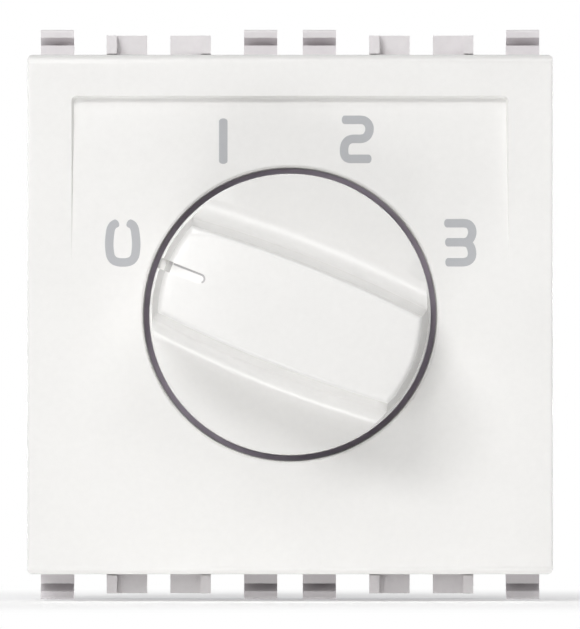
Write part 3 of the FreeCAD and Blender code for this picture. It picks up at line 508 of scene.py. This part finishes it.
def collar_tree():
    """Geometry Nodes tree that raises a collar on each given point and a frame in their middle, facing +Y."""
    tree, given = new_tree("rear_collars",
                           ("Collar Radius", "Collar Wall", "Collar Height", "Frame Width", "Frame Height",
                            "Frame Corner", "Frame Stroke", "Frame Rise", "Back"),
                           {"Material": "NodeSocketMaterial"})

    def swept(curve, wall, height):
        # The bar's lower half lies in the housing, and its edges are rounded by a quarter of its width
        twice = add_node(tree, "ShaderNodeMath", {"operation": "MULTIPLY", 0: height, 1: 2.0})
        bar = add_node(tree, "GeometryNodeCurvePrimitiveQuadrilateral",
                       {"Width": wall, "Height": twice.outputs[0]})
        edge = add_node(tree, "ShaderNodeMath", {"operation": "MULTIPLY", 0: wall, 1: 0.25})
        eased = add_node(tree, "GeometryNodeFilletCurve",
                         {"mode": "POLY", "Count": 3, "Curve": bar.outputs["Curve"], "Radius": edge.outputs[0]})
        level = add_node(tree, "GeometryNodeSetCurveNormal", {"mode": "Z_UP", "Curve": curve})
        wound = add_node(tree, "GeometryNodeCurveToMesh",
                         {"Curve": level.outputs["Curve"], "Profile Curve": eased.outputs["Curve"]})
        return wound.outputs["Mesh"]

    circle = add_node(tree, "GeometryNodeCurvePrimitiveCircle",
                      {"mode": "RADIUS", "Resolution": COLLAR_STEPS, "Radius": given["Collar Radius"]})
    collar = swept(circle.outputs["Curve"], given["Collar Wall"], given["Collar Height"])
    stood = add_node(tree, "GeometryNodeInstanceOnPoints",
                     {"Rotation": TO_BACK, "Points": given["Geometry"], "Instance": collar})
    outline = add_node(tree, "GeometryNodeCurvePrimitiveQuadrilateral",
                       {"Width": given["Frame Width"], "Height": given["Frame Height"]})
    eased = add_node(tree, "GeometryNodeFilletCurve",
                     {"mode": "POLY", "Count": 8, "Curve": outline.outputs["Curve"],
                      "Radius": given["Frame Corner"]})
    border = swept(eased.outputs["Curve"], given["Frame Stroke"], given["Frame Rise"])
    offset = add_node(tree, "ShaderNodeCombineXYZ", {"Y": given["Back"]})
    upright = add_node(tree, "GeometryNodeTransform",
                       {"Rotation": TO_BACK, "Geometry": border, "Translation": offset.outputs["Vector"]})
    both = add_node(tree, "GeometryNodeJoinGeometry",
                    {"Geometry": [stood.outputs["Instances"], upright.outputs["Geometry"]]})
    end_tree(tree, both.outputs["Geometry"], given["Material"])
    return tree


def set_input(modifier, name, value):
    """Sets a modifier's input by the identifier of the socket with that name."""
    for item in modifier.node_group.interface.items_tree:
        if item.item_type == "SOCKET" and item.in_out == "INPUT" and item.name == name:
            modifier[item.identifier] = value
            return
    raise KeyError(name)


def grown_mesh(tree, seats, sizes, material):
    """Plain mesh of what a Geometry Nodes tree grows on the given points."""
    base = bpy.data.meshes.new("seats")
    base.from_pydata([tuple(seat) for seat in seats], [], [])
    holder = bpy.data.objects.new("seats", base)
    bpy.context.scene.collection.objects.link(holder)
    stand = holder.modifiers.new(tree.name, "NODES")
    stand.node_group = tree
    for name, value in sizes.items():
        set_input(stand, name, value)
    set_input(stand, "Material", material)
    ready = bpy.context.evaluated_depsgraph_get()
    mesh = bpy.data.meshes.new_from_object(holder.evaluated_get(ready), depsgraph=ready)
    holder.modifiers.remove(stand)
    bpy.data.objects.remove(holder)
    bpy.data.meshes.remove(base)
    return mesh


def finish_nodes(names, material):
    """Gives packed pieces their material and smooth shading, with their meshes left alone."""
    look = bpy.context.scene.fan_switch_finish
    for name in names:
        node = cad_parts[name]
        node.data.materials.clear()
        node.data.materials.append(material)
        soften = node.modifiers.new("soften_facets", "NODES")
        soften.node_group = soften_tree()
        set_input(soften, "Weld Distance", look.weld_distance)
        set_input(soften, "Smooth Angle", look.smooth_angle)
        level = node.modifiers.new("flat_faces", "WEIGHTED_NORMAL")
        level.keep_sharp = True


def add_piece(name, mesh, body, material=None):
    """Links a finished mesh as a piece that rides on a body."""
    if material is not None:
        mesh.materials.clear()
        mesh.materials.append(material)
    piece = bpy.data.objects.new(name, mesh)
    bpy.context.scene.collection.objects.link(piece)
    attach(piece, body)
    return piece


def pen_path(points, steps=6):
    """Smooth path through the points, by Catmull-Rom spans."""
    ends = [points[0] * 2 - points[1], *points, points[-1] * 2 - points[-2]]
    path = []
    for a, b, c, d in zip(ends, ends[1:], ends[2:], ends[3:]):
        for i in range(steps):
            t = i / steps
            path.append(0.5 * (2 * b + (c - a) * t + (2 * a - 5 * b + 4 * c - d) * t * t
                               + (3 * b - a - 3 * c + d) * t * t * t))
    path.append(points[-1])
    return path


def stroke_outline(points, width, end, steps=8):
    """Outline of a pen stroke along the points, with rounded ends."""
    path = pen_path([Vector(p) * MM for p in points])
    ways = [(path[min(i + 1, len(path) - 1)] - path[max(i - 1, 0)]).normalized() for i in range(len(path))]
    sides = [Vector((-way.y, way.x)) * width / 2 for way in ways]
    left = [p + s for p, s in zip(path, sides)]
    right = [p - s for p, s in zip(path, sides)]

    def cap(tip, way, side):
        turns = [math.pi * (0.5 - (i + 1) / (steps + 1)) for i in range(steps)]
        return [tip + side * math.sin(t) + way * end * math.cos(t) for t in turns]

    return left + cap(path[-1], ways[-1], sides[-1]) + right[::-1] + cap(path[0], -ways[0], -sides[0])


def ring_stroke(right, up, radius, steps=12):
    """Pen stroke once round a small circle."""
    turns = [2 * math.pi * i / steps for i in range(steps + 1)]
    return [(right + radius * math.cos(t), up + radius * math.sin(t)) for t in turns]


def diagram_strokes():
    """Pen strokes of the wiring diagram: a lead to the pivot, the arm, and three contacts with their leads."""
    aside, dot = 2.6, 0.55
    strokes = [[(-8.0, 0.0), (-5.6, 0.0), (-3.2, 0.0)], ring_stroke(-aside, 0.0, dot),
               [(-2.2, 0.4), (-0.4, 1.35), (1.4, 2.3)]]
    for up in (3.2, 0.0, -3.2):
        strokes += [ring_stroke(aside, up, dot), [(3.2, up), (5.6, up), (8.0, up)]]
    return strokes


def inside(point, ring):
    """True where the ring winds round the point."""
    turn = 0.0
    for a, b in zip(ring, ring[1:] + ring[:1]):
        turn += (a - point).angle_signed(b - point, 0.0)
    return abs(turn) > math.pi


def figure_faces(strokes, width, end):
    """Flat corners and faces of a figure, its strokes joined into one area."""
    corners, outlines = [], []
    for points in strokes:
        ring = stroke_outline(points, width, end)
        outlines.append(list(range(len(corners), len(corners) + len(ring))))
        corners.extend(ring)
    flat, _, faces, _, _, _ = geometry.delaunay_2d_cdt(corners, [], outlines, 0, FIGURE_TOLERANCE)
    rings = [[corners[i] for i in ring] for ring in outlines]
    middles = [sum((flat[i] for i in face), Vector((0, 0))) / 3 for face in faces]
    return flat, [face for face, middle in zip(faces, middles) if any(inside(middle, ring) for ring in rings)]


def raised_figure(strokes, width, end, place, height, root):
    """Mesh of a figure whose place function gives a corner's seat and the way out of the surface."""
    corners, faces = figure_faces(strokes, width, end)
    mesh = bpy.data.meshes.new("figure")
    form = bmesh.new()
    ends = []
    for corner in corners:
        seat, out = place(corner)
        ends.append((form.verts.new(seat + out * height), form.verts.new(seat - out * root)))
    for face in faces:
        form.faces.new([ends[i][0] for i in face])
        form.faces.new([ends[i][1] for i in reversed(face)])
    # An edge that no neighbour shares gets a wall down to the root
    edges = dict.fromkeys(edge for face in faces for edge in zip(face, (*face[1:], face[0])))
    for a, b in edges:
        if (b, a) not in edges:
            form.faces.new([ends[b][0], ends[a][0], ends[a][1], ends[b][1]])
    for vert in [v for v in form.verts if not v.link_faces]:
        form.verts.remove(vert)
    bmesh.ops.recalc_face_normals(form, faces=form.faces)
    form.to_mesh(mesh)
    form.free()
    return mesh


def surface_of(name):
    """Search tree of a packed piece's surface."""
    form = bmesh.new()
    form.from_mesh(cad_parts[name].data)
    tree = BVHTree.FromBMesh(form)
    form.free()
    return tree


def seat_on(surface, x, z, what):
    """Point of a surface that shows from the front at x and z."""
    seat, _, _, _ = surface.ray_cast(Vector((x, RAY_START_Y, z)), BACKWARD)
    if seat is None:
        raise RuntimeError(what + " lies off the piece that carries it")
    return seat


class SWITCH_OT_white_mouldings(bpy.types.Operator):
    """Gives the cover, the knob and the snap-in frame their white moulded plastics"""
    bl_idname = "switch.white_mouldings"
    bl_label = "White mouldings"

    def execute(self, context):
        look = context.scene.fan_switch_finish
        # ABS, moulded in a spark-eroded tool: warm white and satin. The real grain is too fine to show, so it
        # is drawn coarser, as a faint mottle that hardly breaks the highlights
        face = opaque_finish("abs_moulded_satin_white", "#F5F4F2", "#F0EFED", rough=look.white_roughness,
                             grain=look.moulded_grain, height=look.grain_height, spread=0.01)
        # Glass-filled nylon, moulded in a plain tool: a shade greyer than the face, and duller
        carrier = opaque_finish("nylon_moulded_white", "#EEEBEC", "#E6E2E4", rough=0.38, grain=0.3 * MM,
                                height=0.003 * MM)
        finish_nodes(WHITE_FACE, face)
        finish_nodes(WHITE_FRAME, carrier)
        return {"FINISHED"}


class SWITCH_OT_inner_mouldings(bpy.types.Operator):
    """Gives the rear housing, the rotor and the contact base their plastics"""
    bl_idname = "switch.inner_mouldings"
    bl_label = "Housing and inner mouldings"

    def execute(self, context):
        # Acetal, moulded: ivory, with the waxy shine of a bearing plastic
        rotor = opaque_finish("acetal_moulded_ivory", "#E6DFCB", "#DDD5BF", rough=0.33, grain=0.4 * MM,
                              height=0.002 * MM, ior=1.48)
        # Phenolic, pressed: dark brown, with mottled filler showing at the skin
        base = opaque_finish("phenolic_pressed_brown", "#5A4234", "#3B2A20", rough=0.48, grain=0.6 * MM,
                             height=0.006 * MM, ior=1.6)
        finish_nodes(GREY_REAR, grey_plastic())
        finish_nodes(("rotor",), rotor)
        finish_nodes(("contact_base",), base)
        return {"FINISHED"}


class SWITCH_OT_contact_metal(bpy.types.Operator):
    """Gives the contacts, springs and clamp cages their metals"""
    bl_idname = "switch.contact_metal"
    bl_label = "Contacts, springs and clamps"

    def execute(self, context):
        # Brass, rolled and stamped: warm yellow with faint rolling lines along the strip
        brass = metal_finish("brass_rolled_stamped", "#D9B66A", "#C9A257", rough=0.28, streak=0.08 * MM,
                             height=0.001 * MM, stretch=(1.0, 1.0, 0.08))
        # Spring steel, rolled and hardened: darker grey with straight rolling lines
        spring = metal_finish("spring_steel_rolled", "#A9ABAE", "#96989C", rough=0.26, streak=0.06 * MM,
                              height=0.001 * MM, stretch=(0.08, 1.0, 1.0))
        finish_nodes(STRIPS, brass)
        finish_nodes(SPRINGS, spring)
        finish_nodes(CAGES, plated_steel())
        return {"FINISHED"}


class SWITCH_OT_dial_figures(bpy.types.Operator):
    """Prints the positions 0 to 3 on the face around the knob"""
    bl_idname = "switch.dial_figures"
    bl_label = "Dial figures"

    def execute(self, context):
        dial = context.scene.fan_switch_dial
        drift = 5
        levels = [round(c * 255) for c in dial.ink_colour]
        tone = "#" + "".join(f"{c:02X}" for c in levels)
        deep = "#" + "".join(f"{max(c - drift, 0):02X}" for c in levels)
        # Pad-printing ink, laid thin over satin plastic: grey, matt, and it keeps the plastic's own grain
        ink = opaque_finish("pad_print_ink_grey", tone, deep, rough=0.5, grain=0.22 * MM, height=0.003 * MM,
                            ior=1.5)
        cover = surface_of("front_cover")
        for name, strokes in DIAL_STROKES.items():
            right, up = DIAL_PLACES[name]

            def place(corner):
                return seat_on(cover, right * MM + corner.x, up * MM + corner.y, "dial figure " + name), FORWARD

            mesh = raised_figure(strokes, dial.stroke, dial.stroke_end, place, dial.ink_height, dial.ink_height)
            add_piece("dial_figure_" + name, mesh, "housing", ink)
        return {"FINISHED"}


class SWITCH_OT_pointer_shadow_line(bpy.types.Operator):
    """Paints a shadow line along the upper wall and the round end of the knob's engraved pointer"""
    bl_idname = "switch.pointer_line"
    bl_label = "Pointer line"

    def execute(self, context):
        dial = context.scene.fan_switch_dial
        # Painted shadow: pale grey, softly matt, darker than the satin plastic round it, laid where the
        # engraving's upper wall casts shade
        paint = opaque_finish("wiped_enamel_grey", "#C6C3C5", "#BDBABC", rough=0.45, grain=0.22 * MM,
                              height=0.002 * MM, ior=1.5)
        top = surface_of("knob")
        along = Vector((math.cos(POINTER_TURN), math.sin(POINTER_TURN)))
        across = Vector((math.sin(POINTER_TURN), -math.cos(POINTER_TURN)))
        strokes = [[tuple(along * a + across * b) for a, b in POINTER_STROKE]]

        def place(corner):
            return seat_on(top, corner.x, corner.y, "pointer line"), FORWARD

        mesh = raised_figure(strokes, dial.pointer_stroke, dial.pointer_stroke / 3, place, dial.ink_height,
                             dial.ink_height)
        add_piece("pointer_line", mesh, "turning_knob", paint)
        return {"FINISHED"}


class SWITCH_OT_gap_shade_ring(bpy.types.Operator):
    """Lays a thin ring of painted shade on the cover's ledge, at the bottom of the gap round the knob"""
    bl_idname = "switch.dust_seal"
    bl_label = "Dust seal"

    def execute(self, context):
        dial = context.scene.fan_switch_dial
        # Painted shade: a dull mauve-grey ring laid where the gap round the knob is only in shadow, so the gap
        # reads as one even dark line
        gap_shade_paint = opaque_finish("rubber_moulded_mauve_grey", "#DDD2E2", "#D2C7D7", rough=0.7, grain=0.3 * MM,
                               height=0.004 * MM)
        inner, outer = dial.shade_ring_radii
        thick = dial.shade_ring_thickness
        chamfer = thick / 3
        seat = seat_on(surface_of("front_cover"), outer - chamfer, 0, "dust seal")
        # Radius and rise of each corner of the shade ring's section
        section = [(inner, 0), (inner, thick - chamfer), (inner + chamfer, thick),
                   (outer - chamfer, thick), (outer, thick - chamfer), (outer, 0)]
        form = bmesh.new()
        rings = []
        for step in range(SHADE_RING_STEPS):
            turn = math.tau * step / SHADE_RING_STEPS
            corners = [(r * math.cos(turn), seat.y - rise, r * math.sin(turn)) for r, rise in section]
            rings.append([form.verts.new(corner) for corner in corners])
        for step, ring in enumerate(rings):
            after = rings[(step + 1) % SHADE_RING_STEPS]
            for low in range(len(section)):
                high = (low + 1) % len(section)
                form.faces.new((ring[low], ring[high], after[high], after[low]))
        bmesh.ops.recalc_face_normals(form, faces=form.faces)
        mesh = bpy.data.meshes.new("dust_seal")
        form.to_mesh(mesh)
        form.free()
        add_piece("dust_seal", mesh, "housing", gap_shade_paint)
        return {"FINISHED"}


class SWITCH_OT_rear_marks(bpy.types.Operator):
    """Raises the terminal marks, the screw collars and the wiring diagram on the back of the housing"""
    bl_idname = "switch.rear_marks"
    bl_label = "Terminal marks and diagram"

    def execute(self, context):
        dial = context.scene.fan_switch_dial
        back_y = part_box("rear_housing")[1].y
        plastic, slot = grey_plastic(), "grey_housing_plastic"
        pen = (dial.mark_stroke, dial.mark_stroke / 2)
        rise = (dial.mark_height, dial.mark_height / 2)
        seats = []
        for name in TERMINALS:
            low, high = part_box("screw_" + name)
            axis = (low + high) / 2
            seats.append(Vector((axis.x, back_y, axis.z)))
            head_radius = (high.x - low.x) / 2
            middle = axis.x - math.copysign(dial.mark_inset, axis.x)

            def place(corner):
                return Vector((middle - corner.x, back_y, axis.z + corner.y)), BACKWARD

            mesh = raised_figure(REAR_STROKES[REAR_LABELS[name]], *pen, place, *rise)
            add_piece("terminal_mark_" + name, mesh, "housing", plastic)

        def on_back(corner):
            return Vector((-corner.x, back_y, corner.y)), BACKWARD

        mesh = raised_figure(diagram_strokes(), *pen, on_back, *rise)
        add_piece("wiring_diagram", mesh, "housing", plastic)
        width, height = dial.frame_size
        sizes = {"Collar Radius": head_radius + dial.collar_play + dial.collar_wall / 2,
                 "Collar Wall": dial.collar_wall, "Collar Height": dial.collar_height,
                 "Frame Width": width, "Frame Height": height, "Frame Corner": dial.frame_corner,
                 "Frame Stroke": dial.mark_stroke, "Frame Rise": dial.mark_height, "Back": back_y}
        add_piece("screw_collars", grown_mesh(collar_tree(), seats, sizes, plastic), "housing", None)
        return {"FINISHED"}


class SWITCH_OT_threaded_screws(bpy.types.Operator):
    """Replaces the plain screws with threaded ones"""
    bl_idname = "switch.threaded_screws"
    bl_label = "Threaded screws"

    def execute(self, context):
        cut = context.scene.fan_switch_screws
        tree = screw_tree()
        steel, slot = plated_steel(), "plated_steel"
        common = {"Pitch": cut.thread_pitch, "Chamfer": cut.head_chamfer, "Slot Width": cut.slot_width,
                  "Slot Depth": cut.slot_depth}
        for name in TERMINALS:
            low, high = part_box("screw_" + name)
            axis = (low + high) / 2
            seat = Vector((axis.x, high.y - cut.terminal_head, axis.z))
            sizes = {**common, "Thread Radius": cut.terminal_radius, "Thread Depth": cut.terminal_depth,
                     "Length": seat.y - low.y, "Head Radius": (high.x - low.x) / 2,
                     "Head Height": cut.terminal_head}
            mesh = grown_mesh(tree, [seat], sizes, steel)
            piece = add_piece("terminal_screw_" + name, mesh, "screw_body_" + name, None)
            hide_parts("screw_" + name)
        low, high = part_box("housing_screws")
        head_radius = (high.x - low.x) / 2
        seat_y = high.y - cut.housing_head
        seats = [Vector((0, seat_y, z)) for z in (low.z + head_radius, high.z - head_radius)]
        sizes = {**common, "Thread Radius": cut.housing_radius, "Thread Depth": cut.housing_depth,
                 "Length": seats[0].y - low.y, "Head Radius": head_radius, "Head Height": cut.housing_head}
        mesh = grown_mesh(tree, seats, sizes, steel)
        piece = add_piece("threaded_housing_screws", mesh, "housing", None)
        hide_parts("housing_screws")
        return {"FINISHED"}


def seen_directly(tree):
    """One where the eye, a mirror or glass sees the surface, nought where it only lights others."""
    path = add_node(tree, "ShaderNodeLightPath")
    either = add_node(tree, "ShaderNodeMath",
                      {"operation": "MAXIMUM", 0: path.outputs["Is Camera Ray"],
                       1: path.outputs["Is Glossy Ray"]})
    return add_node(tree, "ShaderNodeMath",
                    {"operation": "MAXIMUM", 0: either.outputs[0],
                     1: path.outputs["Is Transmission Ray"]}).outputs[0]


def white_surround(studio):
    """World that is seen as white and adds hardly any light of its own."""
    world = bpy.data.worlds.new("white_surround")
    world.use_nodes = True
    tree = world.node_tree
    tree.nodes.clear()
    strength = add_node(tree, "ShaderNodeMapRange",
                        {"To Min": studio.ambient, "To Max": 1.0, "Value": seen_directly(tree)})
    glow = add_node(tree, "ShaderNodeBackground",
                    {"Color": srgb("#FFFFFF"), "Strength": strength.outputs["Result"]})
    add_node(tree, "ShaderNodeOutputWorld", {"Surface": glow.outputs["Background"]})
    return world


def opal_acrylic(studio):
    # Opal acrylic, cast: pale and faintly clouded. It takes a soft shadow, and the lamps below shine through it
    material, tree = new_material("opal_acrylic_table")
    place = add_node(tree, "ShaderNodeTexCoord").outputs["Object"]
    cloud = add_node(tree, "ShaderNodeTexNoise", {"Scale": 1 / CLOUD_WIDTH, "Detail": 3.0, "Vector": place})
    tint = add_node(tree, "ShaderNodeValToRGB", {"Fac": cloud.outputs["Fac"]})
    set_stops(tint.color_ramp, (0.0, "#F0F0F0"), (1.0, "#F6F6F6"))
    seen = seen_directly(tree)
    glow = add_node(tree, "ShaderNodeMath", {"operation": "MULTIPLY", 0: seen, 1: studio.floor_glow})
    sheet = add_node(tree, "ShaderNodeBsdfPrincipled",
                     {"Roughness": 0.9, "Specular IOR Level": 0.1, "Base Color": tint.outputs["Color"],
                      "Emission Color": srgb("#FFFFFF"), "Emission Strength": glow.outputs[0]})

    # Away from the switch the table is seen as white, like the surround
    near, far = studio.floor_white
    reach = add_node(tree, "ShaderNodeVectorMath", {"operation": "LENGTH", 0: place})
    away = add_node(tree, "ShaderNodeMapRange",
                    {"interpolation_type": "SMOOTHSTEP", "From Min": near, "From Max": far,
                     "Value": reach.outputs["Value"]})
    fade = add_node(tree, "ShaderNodeMath", {"operation": "MULTIPLY", 0: away.outputs["Result"], 1: seen})
    white = add_node(tree, "ShaderNodeEmission", {"Color": srgb("#FFFFFF"), "Strength": 1.0})
    both = add_node(tree, "ShaderNodeMixShader",
                    {0: fade.outputs[0], 1: sheet.outputs["BSDF"], 2: white.outputs["Emission"]})
    clear = add_node(tree, "ShaderNodeBsdfTransparent")
    shadow = add_node(tree, "ShaderNodeLightPath").outputs["Is Shadow Ray"]
    table = add_node(tree, "ShaderNodeMixShader",
                     {0: shadow, 1: both.outputs["Shader"], 2: clear.outputs["BSDF"]})
    add_node(tree, "ShaderNodeOutputMaterial", {"Surface": table.outputs["Shader"]})
    return material


def soft_box(name, place, size, power):
    """Soft lamp at a place, turned to the switch."""
    lamp = bpy.data.lights.new(name, "AREA")
    lamp.shape = "RECTANGLE"
    lamp.size, lamp.size_y = size
    lamp.energy = power
    lamp.cycles.use_multiple_importance_sampling = False
    holder = bpy.data.objects.new(name, lamp)
    holder.location = place
    holder.rotation_euler = (Vector((0, 0, 0)) - Vector(place)).to_track_quat("-Z", "Y").to_euler()
    holder.visible_camera = False
    bpy.context.scene.collection.objects.link(holder)


def photo_camera(studio):
    """Camera square to the face, far off with a long lens."""
    camera = bpy.data.cameras.new("photo_camera")
    camera.lens = studio.lens
    camera.clip_start, camera.clip_end = CAMERA_CLIP
    distance = studio.view_height * camera.lens / camera.sensor_width
    holder = bpy.data.objects.new("photo_camera", camera)
    holder.location = (0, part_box("front_cover")[0].y - distance, 0)
    holder.rotation_euler = (math.pi / 2, 0, 0)
    bpy.context.scene.collection.objects.link(holder)
    return holder


class SWITCH_OT_studio(bpy.types.Operator):
    """Sets the table, the lamps, the white surround and the camera"""
    bl_idname = "switch.studio"
    bl_label = "Studio"

    def execute(self, context):
        scene = context.scene
        studio = scene.fan_switch_stage
        scene.view_settings.view_transform = "Standard"
        scene.world = white_surround(studio)

        level = CAD_BOX[0].z - studio.floor_gap
        half = studio.floor_half
        mesh = bpy.data.meshes.new("floor")
        corners = [(-half, -half, level), (half, -half, level), (half, half, level), (-half, half, level)]
        mesh.from_pydata(corners, [], [(0, 1, 2, 3)])
        mesh.materials.append(opal_acrylic(studio))
        floor = bpy.data.objects.new("floor", mesh)
        scene.collection.objects.link(floor)

        for name, place, size, power in LAMPS:
            soft_box(name, place, size, getattr(studio, power))
        scene.camera = photo_camera(studio)
        return {"FINISHED"}


STEPS = (SWITCH_OT_white_mouldings, SWITCH_OT_inner_mouldings, SWITCH_OT_contact_metal, SWITCH_OT_dial_figures,
         SWITCH_OT_pointer_shadow_line, SWITCH_OT_gap_shade_ring, SWITCH_OT_rear_marks, SWITCH_OT_threaded_screws,
         SWITCH_OT_studio)
GROUPS = {"fan_switch_finish": FinishSettings, "fan_switch_dial": DialSettings,
          "fan_switch_screws": ScrewSettings, "fan_switch_stage": StageSettings}


class VIEW3D_PT_fan_switch(bpy.types.Panel):
    """Lists the sizes and the steps of the fan speed switch"""
    bl_idname = "VIEW3D_PT_fan_switch"
    bl_label = "Fan speed switch"
    bl_space_type = "VIEW_3D"
    bl_region_type = "UI"
    bl_category = "Fan switch"

    def draw(self, context):
        for name, group in GROUPS.items():
            box = self.layout.box()
            box.label(text=group.__doc__)
            for prop in group.__annotations__:
                box.prop(getattr(context.scene, name), prop)
        for step in STEPS:
            self.layout.operator(step.bl_idname)


CLASSES = (*GROUPS.values(), *STEPS, VIEW3D_PT_fan_switch)


def register():
    for item in CLASSES:
        bpy.utils.register_class(item)
    for name, group in GROUPS.items():
        setattr(bpy.types.Scene, name, bpy.props.PointerProperty(type=group))


def unregister():
    for name in GROUPS:
        delattr(bpy.types.Scene, name)
    for item in reversed(CLASSES):
        bpy.utils.unregister_class(item)


def main():
    register()
    bpy.ops.switch.white_mouldings()
    bpy.ops.switch.inner_mouldings()
    bpy.ops.switch.contact_metal()
    bpy.ops.switch.dial_figures()
    # Paints the shadow line in the knob's pointer
    bpy.ops.switch.pointer_line()
    # Lays the painted shade ring in the gap round the knob
    bpy.ops.switch.dust_seal()
    bpy.ops.switch.rear_marks()
    bpy.ops.switch.threaded_screws()
    bpy.ops.switch.studio()


if __name__ == "__main__":
    main()
